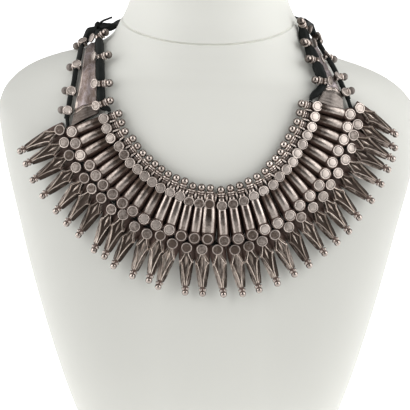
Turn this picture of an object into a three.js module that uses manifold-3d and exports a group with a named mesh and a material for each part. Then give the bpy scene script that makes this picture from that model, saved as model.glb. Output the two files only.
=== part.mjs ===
// Silver choker on a neck bust: thirty arched silver bars and thirty-one silver spears strung on black cords,
// a leaf terminal at each end, strings of silver spacers up both sides and a tied cord round the nape.
// Millimetres, +Z up. The origin is the middle of the bust's flat base, and the front faces -Y.
// Pieces of silver keep a small gap to their neighbours. A stretch of three bars is one solid with the
// short lengths of cord that run through it.
import * as THREE from "three";
import { mergeVertices } from "three/addons/utils/BufferGeometryUtils.js";
import Module from "manifold-3d";

const wasm = await Module();
wasm.setup();

// ---- Driving sizes -------------------------------------------------------------------------------------

const GAP = 0.3; // between pieces that meet
const SEAT = 0.45; // between a piece and the bust's smooth surface

// Level sections of the bust: squared-off ellipses, flatter at the back, closed at the base and the neck.
const BUST_SECTIONS = [
  { height: 0, halfWidth: 71, front: 50, back: 40, power: 2.6 },
  { height: 50, halfWidth: 88.8, front: 62, back: 45, power: 2.45 },
  { height: 113, halfWidth: 106.5, front: 69, back: 50, power: 2.35 },
  { height: 148, halfWidth: 114.8, front: 69.5, back: 52, power: 2.3 },
  { height: 172, halfWidth: 120, front: 66.8, back: 52, power: 2.25 },
  { height: 190, halfWidth: 123, front: 62, back: 51, power: 2.2 },
  { height: 205, halfWidth: 124.3, front: 57, back: 50, power: 2.15 },
  { height: 215, halfWidth: 121.5, front: 54, back: 49, power: 2.1 },
  { height: 223, halfWidth: 115.5, front: 52, back: 49, power: 2.05 },
  { height: 230, halfWidth: 106.5, front: 50.5, back: 48.5, power: 2 },
  { height: 235, halfWidth: 95, front: 50, back: 48, power: 2 },
  { height: 238.5, halfWidth: 82, front: 49.5, back: 48, power: 2 },
  { height: 241.5, halfWidth: 72, front: 49.3, back: 48, power: 2 },
  { height: 246, halfWidth: 62.5, front: 49, back: 48, power: 2 },
  { height: 252, halfWidth: 56, front: 49, back: 48, power: 2 },
  { height: 262, halfWidth: 51, front: 48.7, back: 48, power: 2 },
  { height: 270, halfWidth: 47.5, front: 46.5, back: 46, power: 2 },
  { height: 285, halfWidth: 43.5, front: 43.5, back: 43, power: 2 },
  { height: 297, halfWidth: 41, front: 41, back: 40.5, power: 2 },
  { height: 300, halfWidth: 37, front: 37, back: 36.5, power: 2 },
];
const BUST_SIDES = 24;
const SLOPE_STEP = 0.05;
const SETTLING_ROUNDS = 5;

// The right shoulder sits lower than the left by twice this drop, fading out below the chest and up the neck.
const SHOULDER_REACH = 124;
const SHOULDER_DROP = [
  { height: 0, drop: 0 },
  { height: 120, drop: 0 },
  { height: 190, drop: 3.6 },
  { height: 240, drop: 3.6 },
  { height: 262, drop: 0.4 },
  { height: 300, drop: 0 },
];

// The rows of silver are arcs round one centre in the front view, laid on the bust. Angles are degrees from
// straight down, positive to the right.
const FAN = { x: 1, z: 228 };

// Stretches of three bars, left to right: the middle bar's angle and the step between bars, at the upper
// discs and at the lower discs, and the radius of the upper discs.
const BARS_IN_STRETCH = 3;
const STRETCHES = [
  { upper: -69.4, upperStep: 5.2, lower: -67.8, lowerStep: 4.7, radius: 61.4 },
  { upper: -53.6, upperStep: 5.1, lower: -53.5, lowerStep: 4.6, radius: 59.3 },
  { upper: -38.5, upperStep: 5, lower: -38.7, lowerStep: 5.1, radius: 58.5 },
  { upper: -22.5, upperStep: 5.6, lower: -22.6, lowerStep: 5.5, radius: 58.8 },
  { upper: -6.1, upperStep: 5.4, lower: -6.6, lowerStep: 5.3, radius: 60.3 },
  { upper: 11.4, upperStep: 5.7, lower: 10.8, lowerStep: 5.6, radius: 61.6 },
  { upper: 28.4, upperStep: 5.7, lower: 27.3, lowerStep: 5.6, radius: 61.1 },
  { upper: 44, upperStep: 5, lower: 43.4, lowerStep: 5.3, radius: 59.8 },
  { upper: 59.2, upperStep: 5.3, lower: 58.8, lowerStep: 5.1, radius: 58.8 },
  { upper: 74.8, upperStep: 5.3, lower: 73.6, lowerStep: 4.9, radius: 59.6 },
];

// The spears, left to right: the head disc's angle and radius, the swing of the spear from the radial line at
// its head, the lift of its tip and, where a spear lies over its neighbour, its roll and its height over it.
const SPEARS = [
  { angle: -74.1, radius: 88.4, swing: 20, lift: 20 },
  { angle: -69.5, radius: 87.7, swing: 15, lift: 16 },
  { angle: -64.7, radius: 87.6, swing: 15, lift: 16 },
  { angle: -60, radius: 86.9, swing: 15, lift: 13 },
  { angle: -55.2, radius: 85.6, swing: 17, lift: 9 },
  { angle: -50.6, radius: 85.4, swing: 16, lift: 6 },
  { angle: -45.8, radius: 84.6, swing: 15, lift: 5 },
  { angle: -40.3, radius: 85.3, swing: 18, lift: 7 },
  { angle: -35.6, radius: 83.6, swing: 13, lift: 12, over: 1 },
  { angle: -29.8, radius: 85.4, swing: 3, lift: 9 },
  { angle: -24.5, radius: 85.6, swing: 6, lift: 7 },
  { angle: -19.6, radius: 84, swing: 6, lift: 12, over: 0.6 },
  { angle: -14.5, radius: 86.2, swing: -3, lift: 9 },
  { angle: -9, radius: 86.5, swing: 7, lift: 5 },
  { angle: -3.3, radius: 86.4, swing: 4, lift: 3 },
  { angle: 2.5, radius: 86.8, swing: 5, lift: 6 },
  { angle: 8.8, radius: 87.8, swing: 1, lift: 6 },
  { angle: 14, radius: 87.5, swing: -1, lift: 7 },
  { angle: 19.2, radius: 87, swing: 0, lift: 8 },
  { angle: 24.4, radius: 86.2, swing: 1, lift: 6 },
  { angle: 30.2, radius: 86, swing: -3, lift: 5 },
  { angle: 35.9, radius: 85.3, swing: -4, lift: 5 },
  { angle: 41.4, radius: 85.5, swing: -8, lift: 5 },
  { angle: 46.7, radius: 85.6, swing: -12, lift: 7 },
  { angle: 51.7, radius: 84.7, swing: -13, lift: 8 },
  { angle: 56.7, radius: 84.9, swing: -10, lift: 11 },
  { angle: 62, radius: 85.1, swing: -11, lift: 12 },
  { angle: 66.8, radius: 85.6, swing: -12, lift: 10 },
  { angle: 70.8, radius: 84.6, swing: -19, lift: 20, over: 2.4 },
  { angle: 75.4, radius: 85.1, swing: -23, lift: 14 },
  { angle: 81, radius: 84.4, swing: -31, lift: 10, over: 0.5 },
];

// A bar in its own frame: X across, Y away from the neck, Z off the bust, origin under the upper disc.
const BAR = {
  discRadius: 2.9,
  lowerDiscRadius: 3,
  discTop: 6.3,
  lowerDiscTop: 6.4,
  discThickness: 1.1,
  length: 20, // upper disc to lower disc
  hole: { y: -3.4, z: 2.6 }, // for the inner cord
};
const BAR_SECTIONS = [
  { y: -6.6, halfWidth: 0.9, crown: 0.8, under: 1.9, top: 3.9 },
  { y: 5, halfWidth: 2.5, crown: 2, under: 0.6, top: 6.6 },
  { y: 14, halfWidth: 2.5, crown: 2, under: 0.6, top: 7.3 },
  { y: 24, halfWidth: 1.4, crown: 1, under: 0.6, top: 3.7 },
];

// Ball and collar on the neck side of a bar or a spacer: radius and place along it.
const FINIAL_AXIS = 2.9; // height over the bust
const FINIAL = { tip: -10.6, root: -5.9, longRoot: -4 }; // the long root reaches into a strand
const FINIAL_ROWS = [
  { radius: 1.9, y: -9.2 },
  { radius: 1.4, y: -7.3 },
  { radius: 2.4, y: -5.9 },
];

// Spacers on a strand: how far the ball lies from the cord's middle, and its disc's place from the cord.
const SPACERS = {
  inner: { ball: 5.4, discSide: 2.8, discTop: 3.4, discThickness: 2.4, discRadius: 2.8 },
  outer: { ball: 3.9, discSide: 1, discTop: 2.7, discThickness: 1.8, discRadius: 2.7 },
};
const BALL_MIDDLE = -8.6; // along a bar

// A spear in its own frame: X across, Y toward the tip, Z off the bust, origin under the head disc.
const SPEAR = { discRadius: 3.1, discTop: 5.1, discThickness: 1.1, reach: 26.6 };
const FLANK_SHARE = 0.45; // height of the flanks
const UNDERSIDE_SHARE = 0.6; // width of the underside
const SPEAR_SECTIONS = [
  { y: -1.6, halfWidth: 1.5, crown: 1, under: 0.5, top: 4.4 },
  { y: 3.4, halfWidth: 1.7, crown: 0.8, under: 0.5, top: 4.3 },
  { y: 9, halfWidth: 4.05, crown: 1.3, under: 0.4, top: 5 },
  { y: 23.2, halfWidth: 1.5, crown: 0.9, under: 0.5, top: 3.4 },
  { y: 25.2, halfWidth: 2.1, crown: 1.2, under: 0.3, top: 4.2 },
  { y: 28.4, halfWidth: 1.3, crown: 0.8, under: 0.8, top: 3.6 },
];

// Cord routes, by hand: they leave the outer bars, climb the shoulders and meet at the tie and the nape.
const CORDS = {
  inner_strand_left: {
    radius: 2.2,
    route: [
      [-56.6, -51.7, 216.6],
      [-57.1, -51.2, 218],
      [-60.6, -49.8, 219.7],
      [-61.5, -47.4, 225.6],
      [-61.7, -44.4, 232.1],
      [-62.1, -39.9, 239.5],
      [-62.5, -31, 244.1],
      [-63.2, -20, 247.6],
      [-64, -10.3, 249.1],
      [-64.7, 2.6, 252.2],
    ],
    spacers: [0.09, 0.25, 0.49, 0.87],
    kind: "inner",
    side: -1,
  },
  outer_strand_left: {
    radius: 1.45,
    route: [
      [-81.1, -45.6, 212.8],
      [-80, -43.7, 218.9],
      [-79, -41.7, 224.3],
      [-77.4, -38.9, 230.3],
      [-76.1, -33.5, 238.2],
      [-75.1, -25.9, 241.7],
      [-74.8, -15.2, 243.9],
      [-74.7, -5.6, 244.8],
      [-73.5, 3, 246.5],
      [-69.7, 6.8, 251.4],
    ],
    spacers: [0.04, 0.19, 0.4, 0.86],
    kind: "outer",
    side: 1,
  },
  inner_strand_right: {
    radius: 2.2,
    route: [
      [57.9, -48.3, 222.4],
      [58.2, -47.7, 223.8],
      [63.8, -43.7, 228.5],
      [65.3, -41.6, 231.8],
      [63.1, -37.9, 236.8],
      [61.4, -31.3, 240.8],
      [59.4, -24.1, 244.6],
      [57.3, -19.9, 248.5],
      [55.4, -16.1, 253.1],
      [54.5, -13.3, 256.7],
      [54.6, -9.6, 258.6],
    ],
    spacers: [0.24, 0.5, 0.75, 0.95],
    kind: "inner",
    side: 1,
  },
  outer_strand_right: {
    radius: 1.45,
    route: [
      [79.1, -40.1, 222.8],
      [76.8, -37.9, 227.7],
      [74.2, -35.4, 232.8],
      [71.8, -29.4, 237.2],
      [68.7, -17.4, 241.4],
      [66.1, -5.1, 244.4],
      [63.6, 2.4, 247.5],
      [61, 6.4, 252],
      [59.5, 7.4, 255.2],
    ],
    spacers: [0.04, 0.19, 0.5, 0.86],
    kind: "outer",
    side: -1,
  },
};
const CORD_SIDES = 8;
const CORD_STEP = 2; // in diameters

// The nape cord goes round the back of the neck from the tie to the right-hand strands.
const NAPE = { radius: 1.8, clearance: 3.6, firstAngle: 96, lastAngle: 268, steps: 14 };
const NAPE_HEIGHTS = { first: 255.2, last: 257 };
const NAPE_ENDS = { left: [-61.8, 7.6, 254.6], right: [55.6, -6.2, 259.6] };

// The tie: a lashed knot and the cut end of its thread.
const KNOT = { centre: [-65.6, 7.4, 254.6], length: 7, radius: 3.2 };
const TAIL = {
  radius: 0.6,
  route: [
    [-65.6, 7.4, 256],
    [-62.4, 6, 258.7],
    [-59.7, 4.8, 260],
    [-57.1, 3.6, 261.2],
  ],
};

// Leaf terminals: stations up the middle line with the width, the turn of the cross line in degrees and the
// height over the bust at the edges and at the fold.
const LEAF_SEAT = 0.9; // the underside's height over the bust
const TERMINALS = {
  terminal_left: [
    { at: [-71, -47.2, 213.2], width: 14.6, turn: 24, edge: 2.6, fold: 4 },
    { at: [-70.6, -46.4, 215.6], width: 13.8, turn: 21, edge: 2.2, fold: 3.5 },
    { at: [-70.6, -45.6, 217.9], width: 12.8, turn: 18, edge: 1, fold: 1.9 },
    { at: [-70, -42.9, 225], width: 11.1, turn: 13, edge: 1, fold: 1.9 },
    { at: [-69.3, -38.9, 233], width: 8.4, turn: 7, edge: 1, fold: 1.9 },
    { at: [-69.1, -33.5, 238.7], width: 7.1, turn: 5, edge: 1, fold: 1.8 },
    { at: [-69.3, -24.2, 242.2], width: 6, turn: 4, edge: 1, fold: 1.8 },
    { at: [-69.2, -12, 244.4], width: 4.6, turn: 2, edge: 1, fold: 1.7 },
    { at: [-69, -1, 246], width: 3, turn: 0, edge: 1, fold: 1.5 },
  ],
  terminal_right: [
    { at: [70.1, -43.5, 219.6], width: 13.2, turn: -20, edge: 3, fold: 4.4 },
    { at: [70.6, -41.9, 222.7], width: 11, turn: -17, edge: 2.8, fold: 4 },
    { at: [71.2, -39.5, 226.3], width: 7.6, turn: -14, edge: 1, fold: 1.9 },
    { at: [70.6, -37.9, 229.7], width: 5.9, turn: -6, edge: 1, fold: 1.9 },
    { at: [68.6, -36.1, 233], width: 5.1, turn: -2, edge: 1, fold: 1.9 },
    { at: [66.4, -29.9, 237.3], width: 4.2, turn: -3, edge: 1, fold: 1.8 },
    { at: [64.3, -21, 241], width: 3.7, turn: -3, edge: 1, fold: 1.7 },
    { at: [62.2, -9.4, 245.4], width: 3.2, turn: -4, edge: 1, fold: 1.6 },
    { at: [60.6, -0.8, 249.2], width: 2.2, turn: 0, edge: 1, fold: 1.5 },
  ],
};

// Few sides on small solids.
const DISC_SIDES = 6;
const FINIAL_SIDES = 5;
const THREAD_SIDES = 3;
const THREAD_RADIUS = 1;

// ---- Materials -----------------------------------------------------------------------------------------

const FINISHES = {
  silver: { color: 0x8a807c, roughness: 0.34, metalness: 0.95 },
  leaf: { color: 0x9a9198, roughness: 0.42, metalness: 0.9 },
  cord: { color: 0x1c1d1c, roughness: 0.85, metalness: 0 },
  bust: { color: 0xdcdbd5, roughness: 0.7, metalness: 0 },
};

// ---- Solids --------------------------------------------------------------------------------------------

// A closed three.js geometry as a solid. Points that coincide are merged and faces that collapse are dropped.
function solid(geometry) {
  const bare = geometry.clone();
  bare.deleteAttribute("normal");
  bare.deleteAttribute("uv");
  const merged = mergeVertices(bare, 1e-4);
  const corners = merged.index.array;
  const kept = [];
  for (let i = 0; i < corners.length; i += 3) {
    const [a, b, c] = [corners[i], corners[i + 1], corners[i + 2]];
    if (a !== b && b !== c && c !== a) kept.push(a, b, c);
  }
  return new wasm.Manifold(
    new wasm.Mesh({
      numProp: 3,
      vertProperties: merged.attributes.position.array,
      triVerts: new Uint32Array(kept),
    }),
  );
}

// A solid back as a geometry with flat faces.
function geometryOf(body) {
  const { vertProperties, triVerts, numProp } = body.getMesh();
  const positions = [];
  for (const corner of triVerts) {
    positions.push(...vertProperties.slice(corner * numProp, corner * numProp + 3));
  }
  const geometry = new THREE.BufferGeometry();
  geometry.setAttribute("position", new THREE.Float32BufferAttribute(positions, 3));
  geometry.computeVertexNormals();
  return geometry;
}

function joined(bodies) {
  return bodies.reduce((sum, body) => sum.add(body));
}

function placed(body, frame) {
  return body.transform(frame.elements);
}

// A skin through rings of points, each ring turning anticlockwise about the way to the next, closed flat.
function loft(rings) {
  const count = rings[0].length;
  const last = (rings.length - 1) * count;
  const faces = [];
  for (let start = 0; start < last; start += count) {
    for (let i = 0; i < count; i += 1) {
      const a = start + i;
      const b = start + ((i + 1) % count);
      faces.push(a, b, b + count, a, b + count, a + count);
    }
  }
  for (let i = 1; i + 1 < count; i += 1) {
    faces.push(0, i + 1, i, last, last + i, last + i + 1);
  }
  const geometry = new THREE.BufferGeometry();
  const positions = rings.flat().flatMap((point) => point.toArray());
  geometry.setAttribute("position", new THREE.Float32BufferAttribute(positions, 3));
  geometry.setIndex(faces);
  return geometry;
}

// A round body about its own Y axis from rows of radius and y, closed on the axis at both ends.
function turned(rows, ends, sides) {
  const outline = [new THREE.Vector2(0, ends.tip)];
  for (const row of rows) outline.push(new THREE.Vector2(row.radius, row.y));
  outline.push(new THREE.Vector2(0, ends.root));
  return new THREE.LatheGeometry(outline, sides);
}

// A body with a flat crown and sloping sides, from rows along Y.
function crowned(rows) {
  return loft(
    rows.map(({ y, halfWidth, crown, under, top }) => [
      new THREE.Vector3(-crown, y, top),
      new THREE.Vector3(crown, y, top),
      new THREE.Vector3(halfWidth, y, under),
      new THREE.Vector3(-halfWidth, y, under),
    ]),
  );
}

// A body with a ridged crown, pointed flanks and a flat underside, from rows along Y.
function faceted(rows) {
  return loft(
    rows.map(({ y, halfWidth, crown, under, top }) => [
      new THREE.Vector3(-crown, y, top),
      new THREE.Vector3(crown, y, top),
      new THREE.Vector3(halfWidth, y, under + (top - under) * FLANK_SHARE),
      new THREE.Vector3(halfWidth * UNDERSIDE_SHARE, y, under),
      new THREE.Vector3(-halfWidth * UNDERSIDE_SHARE, y, under),
      new THREE.Vector3(-halfWidth, y, under + (top - under) * FLANK_SHARE),
    ]),
  );
}

function disc(radius, top, thickness, y) {
  const ring = (z) => {
    const corners = [];
    for (let i = 0; i < DISC_SIDES; i += 1) {
      const turn = (2 * Math.PI * (i + 0.5)) / DISC_SIDES;
      corners.push(new THREE.Vector3(radius * Math.cos(turn), y + radius * Math.sin(turn), z));
    }
    return corners;
  };
  return loft([ring(top - thickness), ring(top)]);
}

// A tube along a smooth curve through the points.
function cordGeometry(points, radius, sides, steps) {
  const profile = new THREE.Shape();
  for (let i = 0; i < sides; i += 1) {
    const turn = (2 * Math.PI * i) / sides;
    const corner = [radius * Math.cos(turn), radius * Math.sin(turn)];
    if (i === 0) profile.moveTo(...corner);
    else profile.lineTo(...corner);
  }
  profile.closePath();
  const extrudePath = new THREE.CatmullRomCurve3(points);
  return new THREE.ExtrudeGeometry(profile, { steps, extrudePath, curveSegments: 1 });
}

// ---- The bust's surface --------------------------------------------------------------------------------

// One column of a table as a smooth function of its key column, with no overshoot between rows.
function smoothColumn(rows, key, column) {
  const slopes = rows.slice(1).map((row, i) => (row[column] - rows[i][column]) / (row[key] - rows[i][key]));
  const tangents = rows.map((row, i) => {
    const before = slopes[Math.max(i - 1, 0)];
    const after = slopes[Math.min(i, slopes.length - 1)];
    return before * after <= 0 ? 0 : (2 * before * after) / (before + after);
  });
  return (at) => {
    let i = 0;
    while (i < rows.length - 2 && at > rows[i + 1][key]) i += 1;
    const step = rows[i + 1][key] - rows[i][key];
    const t = (at - rows[i][key]) / step;
    const start = (1 + 2 * t) * (1 - t) ** 2 * rows[i][column] + t * (1 - t) ** 2 * step * tangents[i];
    const end = t * t * (3 - 2 * t) * rows[i + 1][column] + t * t * (t - 1) * step * tangents[i + 1];
    return start + end;
  };
}

const bustHalfWidth = smoothColumn(BUST_SECTIONS, "height", "halfWidth");
const bustFront = smoothColumn(BUST_SECTIONS, "height", "front");
const bustBack = smoothColumn(BUST_SECTIONS, "height", "back");
const bustPower = smoothColumn(BUST_SECTIONS, "height", "power");
const shoulderDrop = smoothColumn(SHOULDER_DROP, "height", "drop");

// How far out a point lies: 1 on the bust's surface, less inside.
function reachOf(point) {
  const level = point.z + (shoulderDrop(point.z) * point.x) / SHOULDER_REACH;
  const depth = point.y < 0 ? bustFront(level) : bustBack(level);
  const power = bustPower(level);
  const sum = Math.abs(point.x / bustHalfWidth(level)) ** power + Math.abs(point.y / depth) ** power;
  return sum ** (1 / power);
}

// How fast that reach grows, along X, Y and Z.
function slopeAt(point) {
  const slope = ["x", "y", "z"].map((axis) => {
    const ahead = point.clone();
    const behind = point.clone();
    ahead[axis] += SLOPE_STEP;
    behind[axis] -= SLOPE_STEP;
    return (reachOf(ahead) - reachOf(behind)) / (2 * SLOPE_STEP);
  });
  return new THREE.Vector3(...slope);
}

// The direction straight off the bust at a point on or near it.
function offBust(point) {
  return slopeAt(point).normalize();
}

// The point of the bust's front surface at a place in the front view.
function frontPoint(x, z) {
  const level = z + (shoulderDrop(z) * x) / SHOULDER_REACH;
  const power = bustPower(level);
  const share = Math.max(0, 1 - Math.abs(x / bustHalfWidth(level)) ** power);
  return new THREE.Vector3(x, -bustFront(level) * share ** (1 / power), z);
}

// The point at a height over the bust, straight off the surface below it.
function settled(point, height) {
  const at = point.clone();
  for (let round = 0; round < SETTLING_ROUNDS; round += 1) {
    const above = (reachOf(at) - 1) / slopeAt(at).length();
    at.addScaledVector(offBust(at), height - above);
  }
  return at;
}

function fanPoint(angle, radius) {
  const turn = THREE.MathUtils.degToRad(angle);
  return frontPoint(FAN.x + radius * Math.sin(turn), FAN.z - radius * Math.cos(turn));
}

// A frame with its origin at start, Y toward end and Z off the bust.
function frameBetween(start, end) {
  const along = end.clone().sub(start).normalize();
  const off = offBust(start.clone().lerp(end, 0.5));
  const across = along.clone().cross(off).normalize();
  off.crossVectors(across, along);
  return new THREE.Matrix4().makeBasis(across, along, off).setPosition(start);
}

// The frame moved straight off the bust until every foot clears the surface.
function seated(frame, feet) {
  const off = new THREE.Vector3().setFromMatrixColumn(frame, 2);
  const needed = feet.map((foot) => {
    const point = foot.clone().applyMatrix4(frame);
    const surface = frontPoint(point.x, point.z);
    return SEAT - (surface.y - point.y) * -offBust(surface).y;
  });
  return new THREE.Matrix4().makeTranslation(off.multiplyScalar(Math.max(...needed))).multiply(frame);
}

// Points under a body made of rows along Y.
function feetOf(rows) {
  const feet = [];
  for (const { y, halfWidth, under } of rows) {
    for (const side of [-1, 0, 1]) feet.push(new THREE.Vector3(side * halfWidth * 0.7, y, under));
  }
  return feet;
}

// ---- Pieces --------------------------------------------------------------------------------------------

function neckBust() {
  const rings = BUST_SECTIONS.map(({ height, halfWidth, front, back, power }) => {
    const ring = [];
    for (let i = 0; i < BUST_SIDES; i += 1) {
      const turn = (2 * Math.PI * i) / BUST_SIDES;
      const [c, s] = [Math.cos(turn), Math.sin(turn)];
      const x = halfWidth * Math.sign(c) * Math.abs(c) ** (2 / power);
      const y = (s < 0 ? front : back) * Math.sign(s) * Math.abs(s) ** (2 / power);
      ring.push(new THREE.Vector3(x, y, height - (shoulderDrop(height) * x) / SHOULDER_REACH));
    }
    return ring;
  });
  return loft(rings);
}

function finial(root) {
  const body = turned(FINIAL_ROWS, { tip: FINIAL.tip, root }, FINIAL_SIDES);
  return solid(body.translate(0, 0, FINIAL_AXIS));
}

function barUnit() {
  return joined([
    solid(crowned(BAR_SECTIONS)),
    finial(FINIAL.root),
    solid(disc(BAR.discRadius, BAR.discTop, BAR.discThickness, 0)),
    solid(disc(BAR.lowerDiscRadius, BAR.lowerDiscTop, BAR.discThickness, BAR.length)),
  ]);
}

const COLLAR = FINIAL_ROWS[FINIAL_ROWS.length - 1];
const BAR_FEET = [...feetOf(BAR_SECTIONS), new THREE.Vector3(0, COLLAR.y, FINIAL_AXIS - COLLAR.radius)];

function barFrames(stretch) {
  const frames = [];
  for (let i = 0; i < BARS_IN_STRETCH; i += 1) {
    const step = i - (BARS_IN_STRETCH - 1) / 2;
    const top = fanPoint(stretch.upper + step * stretch.upperStep, stretch.radius);
    const bottom = fanPoint(stretch.lower + step * stretch.lowerStep, stretch.radius + BAR.length);
    frames.push(seated(frameBetween(top, bottom), BAR_FEET));
  }
  return frames;
}

// The inner cord through the holes of a stretch, cut short of the next stretch at both ends.
function threadSolid(frames, before, after) {
  const points = frames.map(holeOf);
  const ends = [
    [points[0], before],
    [points[points.length - 1], after],
  ].map(([from, to]) => {
    const half = from.distanceTo(to) / 2 - GAP / 2;
    return from.clone().add(to.clone().sub(from).setLength(half));
  });
  const route = [ends[0], ...points, ends[1]];
  const rings = route.map((point, i) => {
    const ahead = route[Math.min(i + 1, route.length - 1)];
    const behind = route[Math.max(i - 1, 0)];
    const along = ahead.clone().sub(behind).normalize();
    const off = offBust(point).projectOnPlane(along).setLength(THREAD_RADIUS);
    const ring = [];
    for (let side = 0; side < THREAD_SIDES; side += 1) {
      ring.push(off.clone().applyAxisAngle(along, (2 * Math.PI * side) / THREAD_SIDES).add(point));
    }
    return ring;
  });
  return solid(loft(rings));
}

const unit = barUnit();
const stretchFrames = STRETCHES.map(barFrames);

function holeOf(frame) {
  return new THREE.Vector3(0, BAR.hole.y, BAR.hole.z).applyMatrix4(frame);
}

// Where the next bar's hole would be past the end of the row.
function beyond(frames, end) {
  const near = holeOf(frames[end === "first" ? 0 : frames.length - 1]);
  const next = holeOf(frames[end === "first" ? 1 : frames.length - 2]);
  return near.clone().multiplyScalar(2).sub(next);
}

function barStretch(index) {
  const frames = stretchFrames[index];
  const bars = frames.map((frame) => placed(unit, frame));
  const previous = stretchFrames[index - 1];
  const following = stretchFrames[index + 1];
  const before = previous ? holeOf(previous[previous.length - 1]) : beyond(frames, "first");
  const after = following ? holeOf(following[0]) : beyond(frames, "last");
  return geometryOf(joined([...bars, threadSolid(frames, before, after)]));
}

function spearSolid() {
  const head = disc(SPEAR.discRadius, SPEAR.discTop, SPEAR.discThickness, 0);
  return solid(faceted(SPEAR_SECTIONS)).add(solid(head));
}

const SPEAR_FEET = feetOf(SPEAR_SECTIONS);

function spearFrame({ angle, radius, swing, lift, roll = 0, over = 0 }) {
  const head = fanPoint(angle, radius);
  const heading = THREE.MathUtils.degToRad(angle + swing);
  const tip = frontPoint(
    head.x + SPEAR.reach * Math.sin(heading),
    head.z - SPEAR.reach * Math.cos(heading),
  );
  const frame = frameBetween(head, tip);
  frame.multiply(new THREE.Matrix4().makeRotationX(THREE.MathUtils.degToRad(lift)));
  frame.multiply(new THREE.Matrix4().makeRotationY(THREE.MathUtils.degToRad(roll)));
  return seated(frame, SPEAR_FEET).multiply(new THREE.Matrix4().makeTranslation(0, 0, over));
}

// A ball and collar beside a cord that runs along X through the origin, with a disc over the other side.
function spacerSolid({ ball, discSide, discTop, discThickness, discRadius }) {
  const body = finial(FINIAL.longRoot);
  const shifted = new THREE.Matrix4().makeTranslation(0, -ball - BALL_MIDDLE, -FINIAL_AXIS);
  return placed(body, shifted).add(solid(disc(discRadius, discTop, discThickness, discSide)));
}

// A strand: a cord with its spacers. The balls point to the left of the route where side is 1.
function strand({ radius, route, spacers, kind, side }) {
  const points = route.map((point) => new THREE.Vector3(...point));
  const curve = new THREE.CatmullRomCurve3(points);
  const steps = Math.round(curve.getLength() / (2 * radius * CORD_STEP));
  const bodies = spacers.map((share) => {
    const at = curve.getPointAt(share);
    const along = curve.getTangentAt(share);
    const off = offBust(at).projectOnPlane(along).normalize();
    const outward = along.clone().cross(off).multiplyScalar(side);
    const frame = new THREE.Matrix4().makeBasis(outward.clone().cross(off), outward, off).setPosition(at);
    return placed(spacerSolid(SPACERS[kind]), frame);
  });
  return geometryOf(joined([solid(cordGeometry(points, radius, CORD_SIDES, steps)), ...bodies]));
}

function napeCord() {
  const points = [new THREE.Vector3(...NAPE_ENDS.left)];
  for (let i = 0; i <= NAPE.steps; i += 1) {
    const share = i / NAPE.steps;
    const turn = THREE.MathUtils.degToRad(NAPE.firstAngle + share * (NAPE.lastAngle - NAPE.firstAngle));
    const [x, y] = [-Math.sin(turn), -Math.cos(turn)];
    const height = THREE.MathUtils.lerp(NAPE_HEIGHTS.first, NAPE_HEIGHTS.last, share);
    const out = 1 / reachOf(new THREE.Vector3(x, y, height)) + NAPE.clearance;
    points.push(new THREE.Vector3(x * out, y * out, height));
  }
  points.push(new THREE.Vector3(...NAPE_ENDS.right));
  return cordGeometry(points, NAPE.radius, CORD_SIDES, NAPE.steps);
}

function tieKnot() {
  const body = new THREE.SphereGeometry(1, 8, 5).scale(KNOT.radius, KNOT.radius, KNOT.length / 2);
  const knot = solid(body.translate(...KNOT.centre));
  const tail = solid(cordGeometry(TAIL.route.map((point) => new THREE.Vector3(...point)), TAIL.radius, 5, 4));
  return geometryOf(knot.add(tail));
}

// A folded leaf: each station is a flat-backed section with its fold raised in the middle.
function terminal(stations) {
  const centres = stations.map(({ at }) => settled(new THREE.Vector3(...at), LEAF_SEAT));
  const rings = stations.map(({ width, turn, edge, fold }, i) => {
    const ahead = centres[Math.min(i + 1, centres.length - 1)];
    const behind = centres[Math.max(i - 1, 0)];
    const along = ahead.clone().sub(behind).normalize();
    const off = offBust(centres[i]).projectOnPlane(along).normalize();
    const level = new THREE.Vector3(1, 0, 0).applyAxisAngle(off, THREE.MathUtils.degToRad(turn));
    const across = level.projectOnPlane(off).setLength(width / 2);
    const left = settled(centres[i].clone().sub(across), LEAF_SEAT);
    const right = settled(centres[i].clone().add(across), LEAF_SEAT);
    const over = (point, height) => point.clone().addScaledVector(off, height);
    return [left, over(left, edge), over(centres[i], fold), over(right, edge), right, centres[i]];
  });
  return loft(rings);
}

// ---- Assembly ------------------------------------------------------------------------------------------

const part = new THREE.Group();

function add(name, geometry, finish) {
  const mesh = new THREE.Mesh(geometry, new THREE.MeshStandardMaterial(FINISHES[finish]));
  mesh.name = name;
  part.add(mesh);
  return mesh;
}

function numbered(stem, index) {
  return `${stem}_${String(index + 1).padStart(2, "0")}`;
}

add("neck_bust", neckBust(), "bust");
STRETCHES.forEach((_, index) => add(numbered("bars", index), barStretch(index), "silver"));
const spearGeometry = geometryOf(spearSolid());
SPEARS.forEach((spear, index) => {
  const mesh = add(numbered("spear", index), spearGeometry, "silver");
  mesh.applyMatrix4(spearFrame(spear));
});
for (const [name, cord] of Object.entries(CORDS)) add(name, strand(cord), "cord");
for (const [name, stations] of Object.entries(TERMINALS)) add(name, terminal(stations), "leaf");
add("nape_cord", napeCord(), "cord");
add("tie_knot", tieKnot(), "cord");

export default part;
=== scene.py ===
"""Dresses the silver choker and the neck bust that holds it: thirty arched bars, thirty-one spears, strung
spacers, leaf terminals, cords and the tie, with the stage they are shown on.

Sizes are millimetres until a piece is set down in the frame, which is in metres with +Z up.
"""

import math
import random
from collections import namedtuple
from contextlib import contextmanager

import bmesh
import bpy
from bpy.props import FloatProperty, FloatVectorProperty, IntProperty, PointerProperty
from bpy.types import NodeSocket, Operator, Panel, PropertyGroup
from mathutils import Matrix, Vector
from mathutils.kdtree import KDTree


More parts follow.
